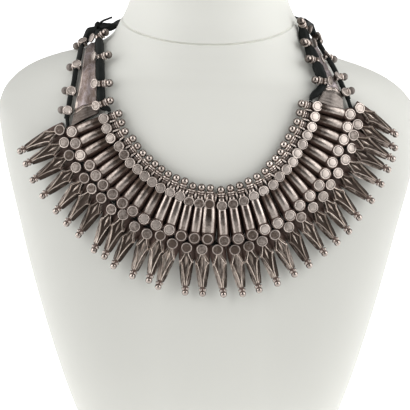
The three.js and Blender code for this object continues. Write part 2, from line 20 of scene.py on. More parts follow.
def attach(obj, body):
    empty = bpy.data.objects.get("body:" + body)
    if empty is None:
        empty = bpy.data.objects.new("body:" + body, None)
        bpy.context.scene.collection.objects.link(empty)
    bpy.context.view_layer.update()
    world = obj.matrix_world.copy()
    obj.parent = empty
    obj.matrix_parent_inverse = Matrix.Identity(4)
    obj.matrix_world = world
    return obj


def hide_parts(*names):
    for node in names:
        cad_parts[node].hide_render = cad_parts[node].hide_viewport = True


bl_info = {
    "name": "Silver choker on a neck bust",
    "version": (1, 0, 0),
    "blender": (4, 5, 0),
    "location": "View3D > Sidebar > Choker",
    "description": "Models the silver, cords and bust of a strung choker around its packed frame",
    "category": "Object",
}

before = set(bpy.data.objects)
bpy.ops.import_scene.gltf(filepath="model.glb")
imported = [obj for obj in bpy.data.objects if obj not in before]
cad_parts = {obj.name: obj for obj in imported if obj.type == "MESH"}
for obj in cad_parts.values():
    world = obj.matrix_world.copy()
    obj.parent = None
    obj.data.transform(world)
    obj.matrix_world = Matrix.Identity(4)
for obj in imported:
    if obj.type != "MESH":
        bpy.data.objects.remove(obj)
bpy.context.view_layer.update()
MM = 0.001
FLAT = ((1, 0, 0), (0, 1, 0))  # the axes of a level circle
UPRIGHT = ((1, 0, 0), (0, 0, 1))

# ---- Tables --------------------------------------------------------------------------------------------

BustSection = namedtuple("BustSection", "height half_width front back power")
Stretch = namedtuple("Stretch", "upper upper_step lower lower_step radius polish")
Spear = namedtuple("Spear", "angle radius swing lift over")
STRAND_COLUMNS = "kind side radius swell lashed spacers tilts rolls route reach"
Strand = namedtuple("Strand", STRAND_COLUMNS, defaults=(None,))
LeafStation = namedtuple("LeafStation", "at width turn edge fold")
BarRow = namedtuple("BarRow", "y crown skirt top")
SpearRow = namedtuple("SpearRow", "y half_width flank top ridge floor skirt")
AlmondRow = namedtuple("AlmondRow", "y half_width top")
RoundRow = namedtuple("RoundRow", "along radius material")
Spacer = namedtuple("Spacer", "ball lift disc_side disc_height disc_radius")
FINISH_COLUMNS = "light dark tarnish rough streak tone_gain bump metal fade sharp"
Finish = namedtuple("Finish", FINISH_COLUMNS, defaults=((1, 1, 1), 0.5, 0.1, 1.0, 0.0, 1.0))


def rows_of(kind, *rows):
    return [kind(*row) for row in rows]


# Level sections of the bust, with how square each is.
BUST_SECTIONS = rows_of(
    BustSection,
    (0, 71, 50, 40, 2.6),
    (50, 88.8, 62, 45, 2.45),
    (113, 106.5, 69, 50, 2.35),
    (148, 114.8, 69.5, 52, 2.3),
    (172, 120, 66.8, 52, 2.25),
    (190, 123, 62, 51, 2.2),
    (205, 124.3, 57, 50, 2.15),
    (215, 121.5, 54, 49, 2.1),
    (223, 115.5, 52, 49, 2.05),
    (230, 106.5, 50.5, 48.5, 2),
    (235, 95, 50, 48, 2),
    (238.5, 82, 49.5, 48, 2),
    (241.5, 72, 49.3, 48, 2),
    (246, 62.5, 49, 48, 2),
    (252, 56, 49, 48, 2),
    (262, 51, 48.7, 48, 2),
    (270, 47.5, 46.5, 46, 2),
    (285, 43.5, 43.5, 43, 2),
    (297, 41, 41, 40.5, 2),
    (300, 37, 37, 36.5, 2),
)
# Height, and how far the right shoulder sits below the left there, halved.
SHOULDER_DROP = ((0, 0), (120, 0), (190, 3.6), (240, 3.6), (262, 0.4), (300, 0))
SHOULDER_REACH = 124.0  # how far out the drop is measured
RIGHT_SAG = 0.85  # how much further the right shoulder itself goes down
FOOT_SPREAD = (0.03, 0.012)  # how much wider the bust is at its foot, left and right
FOOT_SPREAD_TOP = 140.0
# The seam round the neck.
SEAM_HEIGHT = 261.4
SEAM_HALF_WIDTH = 0.6
SEAM_STEP = 0.45  # how far the neck steps in over it
SEAM_DIP = 7  # how much lower it is in front
SEAM_DIP_REACH = 20  # how far from the seam the dip dies out
BUST_LEVELS = (
    *(0.8 + i * 4 for i in range(46)),
    *(184 + i * 2 for i in range(37)),
    *(258, 260, 260.8, 261.1, 261.4, 261.7, 262, 263, 265, 268, 272, 277, 283, 289, 294, 297),
)
BUST_CROWN = ((298.6, 0.25), (299.6, 0.5), (300, 2))  # the rounded top: height and how far it draws in

# Stretches of three bars, from the left: angles, radius, and how bright they are, from their polish and, on
# the right, from painted light.
STRETCHES = rows_of(
    Stretch,
    (-69.4, 5.2, -67.8, 4.7, 61.4, 0.5),
    (-53.6, 5.1, -53.5, 4.6, 59.3, 0.35),
    (-38.5, 5, -38.7, 5.1, 58.5, 0.4),
    (-22.5, 5.6, -22.6, 5.5, 58.8, 0.55),
    (-6.1, 5.4, -6.6, 5.3, 60.3, 0.2),
    (11.4, 5.7, 10.8, 5.6, 61.6, 0.3),
    (28.4, 5.7, 27.3, 5.6, 61.1, 0.8),
    (44, 5, 43.4, 5.3, 59.8, 0.9),
    (59.2, 5.3, 58.8, 5.1, 58.8, 0.85),
    (74.8, 5.3, 73.6, 4.9, 59.6, 0.8),
)
# Spears, from the left: angle and radius of the head, swing, lift and height over the neighbours.
SPEARS = rows_of(
    Spear,
    (-74.1, 88.4, 20, 20, 0),
    (-69.5, 87.7, 15, 16, 0),
    (-64.7, 87.6, 15, 16, 0),
    (-60, 86.9, 15, 13, 0),
    (-55.2, 85.6, 17, 9, 0),
    (-50.6, 85.4, 16, 6, 0),
    (-45.8, 84.6, 15, 5, 0),
    (-40.3, 85.3, 18, 7, 0),
    (-35.6, 83.6, 13, 12, 1),
    (-29.8, 85.4, 3, 9, 0),
    (-24.5, 85.6, 6, 7, 0),
    (-19.6, 84, 6, 12, 0.6),
    (-14.5, 86.2, -3, 9, 0),
    (-9, 86.5, 7, 5, 0),
    (-3.3, 86.4, 4, 3, 0),
    (2.5, 86.8, 5, 6, 0),
    (8.8, 87.8, 1, 6, 0),
    (14, 87.5, -1, 7, 0),
    (19.2, 87, 0, 8, 0),
    (24.4, 86.2, 1, 6, 0),
    (30.2, 86, -3, 5, 0),
    (35.9, 85.3, -4, 5, 0),
    (41.4, 85.5, -8, 5, 0),
    (46.7, 85.6, -12, 7, 0),
    (51.7, 84.7, -13, 8, 0),
    (56.7, 84.9, -10, 11, 0),
    (62, 85.1, -11, 12, 0),
    (66.8, 85.6, -12, 10, 0),
    (70.8, 84.6, -19, 20, 2.4),
    (75.4, 85.1, -23, 14, 0),
    (81, 84.4, -31, 10, 0.5),
)
# The cords that climb the shoulders. The side is that of the balls, and the spacers are shares of the
# length, with the lean of their discs. A strand swells between them and thickens into its lashing, and an
# outer one runs on to where it reaches the knot or the nape.
CORDS = {
    "inner_strand_left": Strand(
        kind="inner", side=-1, radius=2.2, swell=0.22, lashed=0.0,
        spacers=(0.09, 0.25, 0.49, 0.87), tilts=(22, 30, 46, 24), rolls=(0, 0, -18, -14),
        route=(
            (-56.6, -51.7, 216.6), (-57.1, -51.2, 218), (-60.6, -49.8, 219.7), (-61.5, -47.4, 225.6),
            (-61.7, -44.4, 232.1), (-62.1, -39.9, 239.5), (-62.5, -31, 244.1), (-63.2, -20, 247.6),
            (-64, -10.3, 249.1), (-64.7, 2.6, 252.2),
        ),
    ),
    "outer_strand_left": Strand(
        kind="outer", side=1, radius=1.45, swell=0.1, lashed=1.3,
        spacers=(0.04, 0.19, 0.4, 0.86), tilts=(20, 14, 10, 8), rolls=(35, 35, 5, 10),
        reach=(-65.4, 5.8, 252.2),
        route=(
            (-81.1, -45.6, 212.8), (-80, -43.7, 218.9), (-79, -41.7, 224.3), (-77.4, -38.9, 230.3),
            (-76.1, -33.5, 238.2), (-75.1, -25.9, 241.7), (-74.8, -15.2, 243.9), (-74.7, -5.6, 244.8),
            (-73.5, 3, 246.5), (-69.7, 6.8, 251.4),
        ),
    ),
    "inner_strand_right": Strand(
        kind="inner", side=1, radius=2.2, swell=0.5, lashed=0.0,
        spacers=(0.24, 0.5, 0.75, 0.95), tilts=(40, 44, 48, 50), rolls=(0, 0, 0, 0),
        route=(
            (57.9, -48.3, 222.4), (58.2, -47.7, 223.8), (63.8, -43.7, 228.5), (65.3, -41.6, 231.8),
            (63.1, -37.9, 236.8), (61.4, -31.3, 240.8), (59.4, -24.1, 244.6), (57.3, -19.9, 248.5),
            (55.4, -16.1, 253.1), (54.5, -13.3, 256.7), (54.6, -9.6, 258.6),
        ),
    ),
    "outer_strand_right": Strand(
        kind="outer", side=-1, radius=1.45, swell=0.1, lashed=0.7,
        spacers=(0.04, 0.19, 0.5, 0.86), tilts=(-20, -25, -25, -30), rolls=(10, 10, 10, 10),
        reach=(55.4, -4.4, 259.6),
        route=(
            (79.1, -40.1, 222.8), (76.8, -37.9, 227.7), (74.2, -35.4, 232.8), (71.8, -29.4, 237.2),
            (68.7, -17.4, 241.4), (66.1, -5.1, 244.4), (63.6, 2.4, 247.5), (61, 6.4, 252),
            (59.5, 7.4, 255.2),
        ),
    ),
}
# Leaf terminals, foot to tip: middle, width, turn, and height at the edges and at the fold.
TERMINALS = {
    "terminal_left": rows_of(
        LeafStation,
        ((-71, -47.2, 213.2), 14.6, 24, 2.6, 4),
        ((-70.6, -46.4, 215.6), 13.8, 21, 2.2, 3.5),
        ((-70.6, -45.6, 217.9), 12.8, 18, 1, 1.9),
        ((-70, -42.9, 225), 11.1, 13, 1, 1.9),
        ((-69.3, -38.9, 233), 8.4, 7, 1, 1.9),
        ((-69.1, -33.5, 238.7), 7.1, 5, 1, 1.8),
        ((-69.3, -24.2, 242.2), 6, 4, 1, 1.8),
        ((-69.2, -12, 244.4), 4.6, 2, 1, 1.7),
        ((-69, -1, 246), 3, 0, 1, 1.5),
    ),
    "terminal_right": rows_of(
        LeafStation,
        ((70.1, -43.5, 219.6), 13.2, -20, 3, 4.4),
        ((70.6, -41.9, 222.7), 11, -17, 2.8, 4),
        ((71.2, -39.5, 226.3), 7.6, -14, 1, 1.9),
        ((70.6, -37.9, 229.7), 5.9, -6, 1, 1.9),
        ((68.6, -36.1, 233), 5.1, -2, 1, 1.9),
        ((66.4, -29.9, 237.3), 4.2, -3, 1, 1.8),
        ((64.3, -21, 241), 3.7, -3, 1, 1.7),
        ((62.2, -9.4, 245.4), 3.2, -4, 1, 1.6),
        ((60.6, -0.8, 249.2), 2.2, 0, 1, 1.5),
    ),
}

FAN = (1.0, 228.0)  # the middle of the arcs that the silver lies on, in the front view
BARS_IN_STRETCH = 3
BAR_LENGTH = 20.0
SPEAR_REACH = 26.6
SEAT = 0.45  # how far the silver stays off the bust
UNEVEN = 0.07  # how far the hand-made shapes stray
LEAF_SEAT = 0.9
LEAF_STEPS = 16
LEAF_RIMS = (1.65, 1.95)
LEAF_ARCH = 1.2
LEAF_FOOT = 3.0
LEAF_TUCK = (1.1, 1.6)  # how far a leaf goes under its strand, and how much more at its foot
LEAF_TONES = (0.15, 0.7)
# From a leaf's edge to its fold: place, share of the edge's height, share of the fold's, and height added.
LEAF_SLOPE = (
    (0.0, 1.0, 0.0, 0.0),
    (0.1, 1.0, 0.0, 0.25),
    (0.24, 0.7, 0.3, -0.15),
    (0.7, 0.35, 0.65, 0.0),
)
LEAF_RIM_WIDTH = 0.07
LEAF_EDGES = (2.2, (1, 2, 8, 9))  # the level from which a leaf's edges are painted bright as highlights, and their places

# Points under a bar and under a spear that have to clear the bust: across, along and off it.
BAR_FEET = (
    (0.63, -6.6, 1.9),
    (1.75, 5.0, 0.6),
    (1.75, 14.0, 0.6),
    (0.98, 24.0, 0.6),
    (0.0, -5.9, 0.5),
)
SPEAR_FEET = (
    (1.05, -1.6, 0.5),
    (1.19, 3.4, 0.5),
    (2.835, 9.0, 0.4),
    (1.05, 23.2, 0.5),
    (1.47, 25.2, 0.3),
    (0.91, 28.4, 0.8),
)

# A bar from under its upper disc to past its lower one: half widths of the crown and at the foot, height.
BAR_ROWS = rows_of(
    BarRow,
    (-5.8, 1.0, 1.2, 4.0),
    (-2.9, 1.5, 2.0, 5.0),
    (0.0, 1.8, 2.5, 5.7),
    (3.0, 1.95, 2.8, 6.6),
    (5.0, 2.0, 2.95, 7.0),
    (7.0, 2.05, 3.05, 7.35),
    (9.0, 2.1, 3.15, 7.55),
    (11.0, 2.1, 3.2, 7.6),
    (13.0, 2.1, 3.3, 7.4),
    (15.0, 2.1, 3.35, 7.0),
    (16.4, 2.1, 3.4, 6.5),
    (17.6, 2.0, 3.4, 5.7),
    (19.5, 1.9, 3.4, 5.2),
    (21.5, 1.8, 3.0, 4.7),
    (24.0, 1.3, 1.7, 3.7),
)
BAR_UNDER = 0.6
BAR_SKIRT = 1.12  # how much wider the dressed bar is at its foot, which takes painted shade between the bars
BAR_FOOT = 16.4  # the bar is dark from here to its lower end, painted shade under its lower disc
BAR_UPPER_DISC = (3.1, 6.6)  # radius and height of the face
BAR_LOWER_DISC = (3.25, 6.8)
# The dish of painted shadow under the lower disc: radius, and height.
BAR_SHADOW_DISH = (3.7, 6.0)
JUMP_RING = (2.1, 0.55)
FLAT_BARS = range(10, 19)  # from the left, the others have a round back
WIDE_BAR = (14, 1.55)  # its number from the left and how much wider its crown is
HOLE_INNER = Vector((0.0, -3.4, 2.6))
HOLE_OUTER = Vector((0.0, 23.0, 2.2))

# A spear from its neck to the collar over its ball. Its skirt is a dark sheet of painted shadow between
# neighbouring spears.
SPEAR_ROWS = rows_of(
    SpearRow,
    (-2.4, 1.4, 2.2, 4.0, 0.5, 3.7, 4.5),
    (0.0, 1.5, 2.2, 4.3, 0.5, 3.8, 4.7),
    (3.0, 1.8, 2.4, 4.6, 0.7, 3.8, 4.7),
    (5.0, 2.5, 2.5, 4.9, 1.4, 3.7, 4.6),
    (7.0, 3.5, 2.6, 5.1, 2.4, 3.6, 4.4),
    (8.3, 4.1, 2.8, 5.4, 3.3, 3.6, 4.2),
    (9.2, 4.15, 2.6, 5.3, 2.8, 3.6, 4.1),
    (10.4, 4.1, 2.4, 5.1, 2.2, 3.6, 3.9),
    (13.0, 3.8, 2.2, 4.9, 1.6, 3.6, 3.6),
    (16.0, 3.4, 2.1, 4.5, 1.0, 3.4, 3.2),
    (19.0, 3.0, 2.0, 4.1, 0.55, 3.2, 2.8),
    (21.5, 2.6, 1.9, 3.7, 0.36, 3.1, 2.3),
    (23.2, 2.2, 1.8, 3.5, 0.34, 3.0, 1.8),
)
SPEAR_UNDER = 0.45
SPEAR_DISC = (3.3, 5.4)
SPEAR_ELBOW = (7.4, 9.4)  # where the ridge turns out to the flank
ALMOND_SHARE = 0.75  # how many spears have the almond

# Ball, neck, collar and ribbed tube on the neck side of a bar or a spacer, along its length.
FINIAL_AXIS = 2.9
FINIAL_ROWS = rows_of(
    RoundRow,
    (-10.8, 0.05, "ball"),
    (-10.66, 0.85, "ball"),
    (-10.2, 1.6, "ball"),
    (-9.45, 2.12, "ball"),
    (-8.6, 2.3, "ball"),
    (-7.8, 2.13, "ball"),
    (-7.25, 1.6, "ball"),
    (-7.05, 1.4, "hollow"),
    (-6.86, 1.9, "edge"),
    (-6.7, 2.35, "edge"),
    (-6.4, 2.45, "edge"),
    (-6.1, 2.35, "edge"),
    (-5.95, 1.7, "hollow"),
    (-5.65, 1.6, "hollow"),
    (-5.4, 2.0, "edge"),
    (-4.9, 2.05, "hollow"),
    (-4.65, 1.75, "hollow"),
    (-4.45, 1.7, "hollow"),
    (-4.2, 1.95, "body"),
    (-3.6, 2.0, "body"),
    (-3.3, 1.7, "hollow"),
    (-2.0, 1.8, "body"),
    (-1.8, 0.05, "hollow"),
)
# What takes the tube's place where a spacer crosses its strand.
BARREL_ROWS = rows_of(
    RoundRow,
    (-5.95, 1.6, "hollow"),
    (-5.7, 1.6, "hollow"),
    (-5.45, 2.0, "edge"),
    (-4.95, 2.08, "edge"),
    (-4.6, 1.75, "hollow"),
    (-4.35, 1.9, "crown"),
    (-3.4, 2.0, "edge"),
    (-2.2, 1.95, "crown"),
    (-1.8, 0.05, "hollow"),
)
# The small collar and ball at the foot of a spear.
FOOT_AXIS = 2.4
FOOT_ROWS = rows_of(
    RoundRow,
    (22.3, 0.05, "body"),
    (22.5, 1.3, "hollow"),
    (23.0, 1.4, "hollow"),
    (23.6, 1.4, "hollow"),
    (24.2, 1.4, "hollow"),
    (24.8, 1.35, "hollow"),
    (25.1, 1.4, "hollow"),
    (25.25, 1.35, "hollow"),
    (25.5, 1.6, "ball"),
    (26.0, 1.88, "ball"),
    (26.7, 1.98, "ball"),
    (27.4, 1.82, "ball"),
    (28.0, 1.35, "ball"),
    (28.4, 0.65, "ball"),
    (28.5, 0.05, "ball"),
)
# The two granules that flank the collar.
GRANULE_RADIUS = 1.05
GRANULE_PLACE = (1.2, 24.3, 3.0)
# The raised almond in the upper part of most spears.
ALMOND_ROWS = rows_of(
    AlmondRow,
    (4.6, 0.05, 4.0),
    (6.0, 0.55, 4.5),
    (7.6, 0.8, 4.8),
    (9.2, 0.6, 4.6),
    (11.5, 0.05, 4.0),
)
# A disc with a raised rim and a dished face, from its back to its middle: height, and share of its radius.
DISC_THICKNESS = 1.2
DISC_SHARE = 0.94  # the worn rims fall a little short of the solid discs
DISC_ROWS = (
    (-1.0, 0.9),
    (-0.85, 1.0),
    (-0.25, 1.0),
    (-0.04, 0.95),
    (0.0, 0.88),
    (-0.05, 0.8),
    (-0.28, 0.76),
    (-0.18, 0.71),
    (-0.16, 0.5),
    (-0.15, 0.3),
    (-0.15, 0.02),
)
DISC_GROOVE = (0.71, 0.785)
DISC_FACE = 0.75
# The dark dish under a bar's lower disc, a painted shadow of the disc: height, and share of its radius.
SHADOW_DISH_ROWS = ((-1.5, 0.6), (-0.5, 1.0), (-0.1, 0.99), (0.0, 0.93), (-0.2, 0.86), (-0.2, 0.1))
BALL_MIDDLE = -8.6
SPACER_DISC = 2.8
SPACERS = {
    "inner": Spacer(5.6, 1.3, 3.0, 3.7, 2.7),
    "outer": Spacer(3.9, 0.3, 1.0, 3.0, 2.75),
}
STRAND_SPACING = 0.8
STRAND_WAIST = 0.9  # a strand's share of its radius at a spacer
STRAND_FIRST_SWELL = 0.1  # how far it swells before its first spacer
STRAND_SWELL_REACH = 4.5
STRAND_START = (0.4, 5)  # an inner strand's share of its radius where it starts, and for how long it grows
LASHING_LENGTH = 9
CORD_SPACING = 1.6
CORD_RADII = {"inner_cord": 1.05, "outer_cord": 1.1}
INNER_CORD_END = 0.45  # how far it runs on, as a share of the way between two bars
OUTER_CORD_END = 0.08  # how far short of the strand it ends, as a share of the way to it

NAPE_RADIUS = 1.8
NAPE_FLARE = (1.3, 10)  # how much thicker the nape cord starts, and over what length
NAPE_CLEARANCE = 3.6
NAPE_TURNS = (96.0, 268.0)
NAPE_HEIGHTS = (255.2, 257.0)
NAPE_ENDS = ((-61.8, 7.6, 254.6), (55.6, -6.2, 259.6))
NAPE_STEPS = 14
NAPE_SPACING = 1.2
NAPE_TUCK = 1.6  # how far its first end goes into the knot
KNOT_CENTRE = (-65.6, 7.4, 254.6)
KNOT_LENGTH = 7.0
KNOT_RADIUS = 2.112
KNOT_TURNS = 7
TAIL_RADIUS = 0.6
TAIL_ROUTE = (
    (-65.6, 7.4, 256.0),
    (-62.4, 6.0, 258.7),
    (-59.7, 4.8, 260.0),
    (-57.1, 3.6, 261.2),
)

# How bright the copies are: from 0, tarnished, to 1, polished, with painted light adding to those on the
# right.
BAR_TONE = 0.25  # how far a bar's parts stray from their stretch
DISC_TONE = 0.13  # the same for its discs
BAR_BODY_TONE = (0.25, 0.3)  # a bar's least tone, and how much of its copy's is added
SPEAR_TONES = (0.3, 0.6)  # at the sides and in front
SPEAR_FRONT = 28  # degrees to either side
SPEAR_FACE_TONES = (0.3, 0.5)  # of the discs, and of those on the right, brighter with painted light
SPEAR_RIGHT = 25
SPEAR_FOOT_TONE = 0.5
ALMOND_TONE = 0.4
SPEAR_STRAY = (0.25, 0.15, 0.3)  # how far a spear's ends, disc and almond stray
SPACER_TONE = (0.55, 0.2)  # and how far it strays

# How marks are drawn out across, along and off a piece.
PLAIN = (1, 1, 1)
ALONG_BAR = (0.6, 0.06, 0.6)
ALONG_SPEAR = (0.6, 0.07, 0.6)
ALONG_LEAF = (0.4, 0.4, 0.09)
WARM = (1.05, 1.03, 1.0)  # the tint of the spears' silver
# The silvers: bright and dark colour with the share of each, how much more tarnish than the add-on's,
# roughness, marks, and how far a copy's tone, bump, metal, painted disc shadow and contrast go.
SILVERS = {
    # The balls' lit fronts, brightened as painted highlight, and silver_shade for their sides in painted
    # shade.
    "silver_ball": Finish(("light", 0.86), ("dark", 0.6), -0.08, 0.17, tone_gain=0.25, bump=0.05),
    "silver_shade": Finish(("light", 0.3), ("dark", 0.3), 0, 0.3, tone_gain=0.25, bump=0.05),
    # Rims, bevels, ridges and jump rings: rubbed silver with painted highlights.
    "silver_edge": Finish(("light", 1), ("dark", 1), -0.12, 0.3, tone_gain=0.4, metal=0.75),
    "silver_crown": Finish(
        ("light", 0.72), ("brown", 0.38), 0.09, 0.3, ALONG_BAR, 0.6, fade=0.5, sharp=1.2
    ),
    "silver_flat": Finish(("light", 0.67), ("brown", 0.5), 0.09, 0.33, ALONG_BAR, 0.6, fade=0.2, sharp=1.2),
    "silver_body": Finish(("light", 0.36), ("brown", 0.35), 0.05, 0.4, ALONG_BAR, 0.4, metal=0.4),
    # Blackened patina in the grooves, and painted shade on the sides and feet of bars and spears and in the
    # dish under each lower disc.
    "silver_hollow": Finish(("black", 5.5), ("black", 2), 0, 0.55, tone_gain=0.3, metal=0.15),
    # The dished faces are darkened beyond their tarnish as a painted reflection of the dark surround.
    "silver_face": Finish(("light", 0.85), ("brown", 0.5), 0.34, 0.42, tone_gain=1.0, metal=0.7, sharp=1.2),
    # The spears' ridges: rubbed silver with painted highlights.
    "spear_edge": Finish(
        ("warm", 0.85), ("brown", 0.8), -0.02, 0.32, ALONG_SPEAR, 0.9, 0.3, 0.65, sharp=1.8
    ),
    "spear_flank": Finish(
        ("warm", 0.85), ("brown", 0.3), -0.02, 0.4, ALONG_SPEAR, 0.15, 0.6, 0.8, sharp=3.4
    ),
    # Painted shade in the hollow between the ridges and on one flank.
    "spear_hollow": Finish(
        ("warm", 0.6), ("brown", 0.26), 0.05, 0.45, ALONG_SPEAR, 0.15, 0.6, 0.8, sharp=3.4
    ),
    "leaf_silver": Finish(
        ("leaf", 0.95), ("brown", 0.8), -0.05, 0.46, ALONG_LEAF, 0.2, metal=0.85, sharp=2
    ),
    "leaf_cap": Finish(("light", 0.33), ("brown", 0.3), 0.06, 0.42, tone_gain=0.6, metal=0.8),
}
# How scratches and blotches add up to wear, and the wear where a silver is between its two colours.
SCRATCHED, BLOTCHED, WORN_MIDDLE = 0.45, 0.75, 0.42
TONE_SHIFT = 57.0  # how far the marks move from one tone to the next
BLOTCHED_BY = 1.5  # from this contrast on, the blotches are drawn out too
POLISH = (0.11, -0.22)  # roughness of tarnish over a silver's own, and what wear adds to it
DISC_SHADOW_REACH = (2.0, 10.5)  # where along a bar its painted shadow of the upper disc starts and ends
# The bust's cover, in metres: painted shade darkens it toward the sides, and painted light brightens it on
# the neck and on the right.
COVER_SIDE_SHADE = (0.03, 6.2)  # where it starts and how fast it goes
COVER_NECK_LIGHT = (0.165, 6.0, 0.25)  # the same, and how far it goes at most
COVER_RIGHT_LIGHT = 5.5
COVER_HANDLED = (0.12, 0.53)  # how much the blotches of handling change it, and from what
COVER_SHADES = (0.72, 1.13)  # shaded and lit, as shares of its colour

# ---- The bust's surface --------------------------------------------------------------------------------


def smooth(keys, values):
    """The values as a smooth function of the keys, with no overshoot between them."""
    slopes = [(values[i + 1] - values[i]) / (keys[i + 1] - keys[i]) for i in range(len(keys) - 1)]
    tangents = []
    for i in range(len(keys)):
        before = slopes[max(i - 1, 0)]
        after = slopes[min(i, len(slopes) - 1)]
        tangents.append(0.0 if before * after <= 0 else 2 * before * after / (before + after))

    def value(at):
        i = 0
        while i < len(keys) - 2 and at > keys[i + 1]:
            i += 1
        step = keys[i + 1] - keys[i]
        t = (at - keys[i]) / step
        start = (1 + 2 * t) * (1 - t) ** 2 * values[i] + t * (1 - t) ** 2 * step * tangents[i]
        end = t * t * (3 - 2 * t) * values[i + 1] + t * t * (t - 1) * step * tangents[i + 1]
        return start + end

    return value


def column(rows, name, key="y"):
    """One named column of a table as a smooth function of its key column."""
    return smooth([getattr(row, key) for row in rows], [getattr(row, name) for row in rows])


bust_half_width, bust_front, bust_back, bust_power = (
    column(BUST_SECTIONS, name, "height") for name in ("half_width", "front", "back", "power")
)
shoulder_drop = smooth(*zip(*SHOULDER_DROP))
bar_crown = column(BAR_ROWS, "crown")
spear_ridge = column(SPEAR_ROWS, "ridge")
spear_flank = column(SPEAR_ROWS, "flank")


def reach_of(point):
    """How far out a point lies: 1 on the bust's surface, less inside."""
    x, y, z = point
    level = z + shoulder_drop(z) * x / SHOULDER_REACH
    depth = bust_front(level) if y < 0 else bust_back(level)
    power = bust_power(level)
    return (abs(x / bust_half_width(level)) ** power + abs(y / depth) ** power) ** (1 / power)


def slope_at(point):
    slope = []
    for axis in range(3):
        ahead, behind = Vector(point), Vector(point)
        ahead[axis] += 0.05
        behind[axis] -= 0.05
        slope.append((reach_of(ahead) - reach_of(behind)) / 0.1)
    return Vector(slope)


def off_bust(point, along=None):
    """The way straight off the bust at a point, level with a line along it where one is given."""
    off = slope_at(point).normalized()
    return (off - along * off.dot(along)).normalized() if along else off


def front_point(x, z):
    """The point of the bust's front surface at a place in the front view."""
    level = z + shoulder_drop(z) * x / SHOULDER_REACH
    power = bust_power(level)
    share = max(0.0, 1 - abs(x / bust_half_width(level)) ** power)
    return Vector((x, -bust_front(level) * share ** (1 / power), z))


def settled(point, height):
    """The point at a height over the bust, straight off the surface below it."""
    at = Vector(point)
    for _ in range(5):
        slope = slope_at(at)
        above = (reach_of(at) - 1) / slope.length
        at += slope.normalized() * (height - above)
    return at


def fan_point(angle, radius):
    turn = math.radians(angle)
    return front_point(FAN[0] + radius * math.sin(turn), FAN[1] - radius * math.cos(turn))


def basis(across, along, off, origin):
    frame = Matrix((across, along, off)).transposed().to_4x4()
    frame.translation = origin
    return frame


def frame_between(start, end):
    """A frame with its origin at start, Y toward end and Z off the bust."""
    along = (end - start).normalized()
    across = along.cross(off_bust(start.lerp(end, 0.5))).normalized()
    return basis(across, along, across.cross(along), start)


def cord_frame(at, along, side=1):
    """A frame on a cord, with Y out to one side of it and Z off the bust."""
    off = off_bust(at, along)
    outward = along.cross(off) * side
    return basis(outward.cross(off), outward, off, at)


def seated(frame, feet):
    """The frame moved straight off the bust until every foot clears the surface."""
    needed = []
    for foot in feet:
        point = frame @ Vector(foot)
        surface = front_point(point.x, point.z)
        needed.append(SEAT + (surface.y - point.y) * off_bust(surface).y)
    return Matrix.Translation(frame.col[2].to_3d() * max(needed)) @ frame


def bar_frames(stretch):
    frames = []
    for i in range(BARS_IN_STRETCH):
        step = i - (BARS_IN_STRETCH - 1) / 2
        top = fan_point(stretch.upper + step * stretch.upper_step, stretch.radius)
        bottom = fan_point(stretch.lower + step * stretch.lower_step, stretch.radius + BAR_LENGTH)
        frames.append(seated(frame_between(top, bottom), BAR_FEET))
    return frames


def spear_frame(spear):
    head = fan_point(spear.angle, spear.radius)
    heading = math.radians(spear.angle + spear.swing)
    tip = front_point(head.x + SPEAR_REACH * math.sin(heading), head.z - SPEAR_REACH * math.cos(heading))
    frame = frame_between(head, tip) @ Matrix.Rotation(math.radians(spear.lift), 4, "X")
    return seated(frame, SPEAR_FEET) @ Matrix.Translation((0, 0, spear.over))


STRETCH_FRAMES = [bar_frames(stretch) for stretch in STRETCHES]
BAR_FRAMES = [frame for frames in STRETCH_FRAMES for frame in frames]


class Route:
    """A smooth curve through points, with places along it by share of its length."""

    def __init__(self, points, pieces=24):
        points = [Vector(point) for point in points]
        self.points = []
        spans = len(points) - 1
        for span in range(spans):
            before = points[span - 1] if span else 2 * points[0] - points[1]
            after = points[span + 2] if span + 2 <= spans else 2 * points[-1] - points[-2]
            corners = (before, points[span], points[span + 1], after)
            for piece in range(pieces + (span == spans - 1)):
                self.points.append(self.between(corners, piece / pieces))
        self.lengths = distances(self.points)
        self.length = self.lengths[-1]

    @staticmethod
    def between(corners, t):
        p0, p1, p2, p3 = corners
        d0, d1, d2 = (max((b - a).length ** 0.5, 1e-4) for a, b in ((p0, p1), (p1, p2), (p2, p3)))
        start = ((p1 - p0) / d0 - (p2 - p0) / (d0 + d1) + (p2 - p1) / d1) * d1
        end = ((p2 - p1) / d1 - (p3 - p1) / (d1 + d2) + (p3 - p2) / d2) * d1
        square = -3 * p1 + 3 * p2 - 2 * start - end
        cube = 2 * p1 - 2 * p2 + start + end
        return p1 + start * t + square * t * t + cube * t**3

    def at(self, share):
        """The point and the direction at a share of the length."""
        aim = min(max(share, 0.0), 1.0) * self.length
        i = 0
        while i < len(self.lengths) - 2 and self.lengths[i + 1] < aim:
            i += 1
        here, there = self.points[i], self.points[i + 1]
        part = (aim - self.lengths[i]) / max(self.lengths[i + 1] - self.lengths[i], 1e-9)
        return here.lerp(there, part), (there - here).normalized()

    def spaced(self, spacing):
        count = max(2, round(self.length / spacing))
        return [self.at(i / count)[0] for i in range(count + 1)]


def distances(points):
    """How far along the line of points each one lies."""
    lengths = [0.0]
    for here, there in zip(points, points[1:]):
        lengths.append(lengths[-1] + (there - here).length)
    return lengths


# ---- Modelling -----------------------------------------------------------------------------------------


def deselect():
    if bpy.context.object and bpy.context.object.mode != "OBJECT":
        bpy.ops.object.mode_set(mode="OBJECT")
    bpy.ops.object.select_all(action="DESELECT")


def picked(piece):
    """Selects the piece alone and makes it active."""
    deselect()
    piece.select_set(True)
    bpy.context.view_layer.objects.active = piece
    return piece


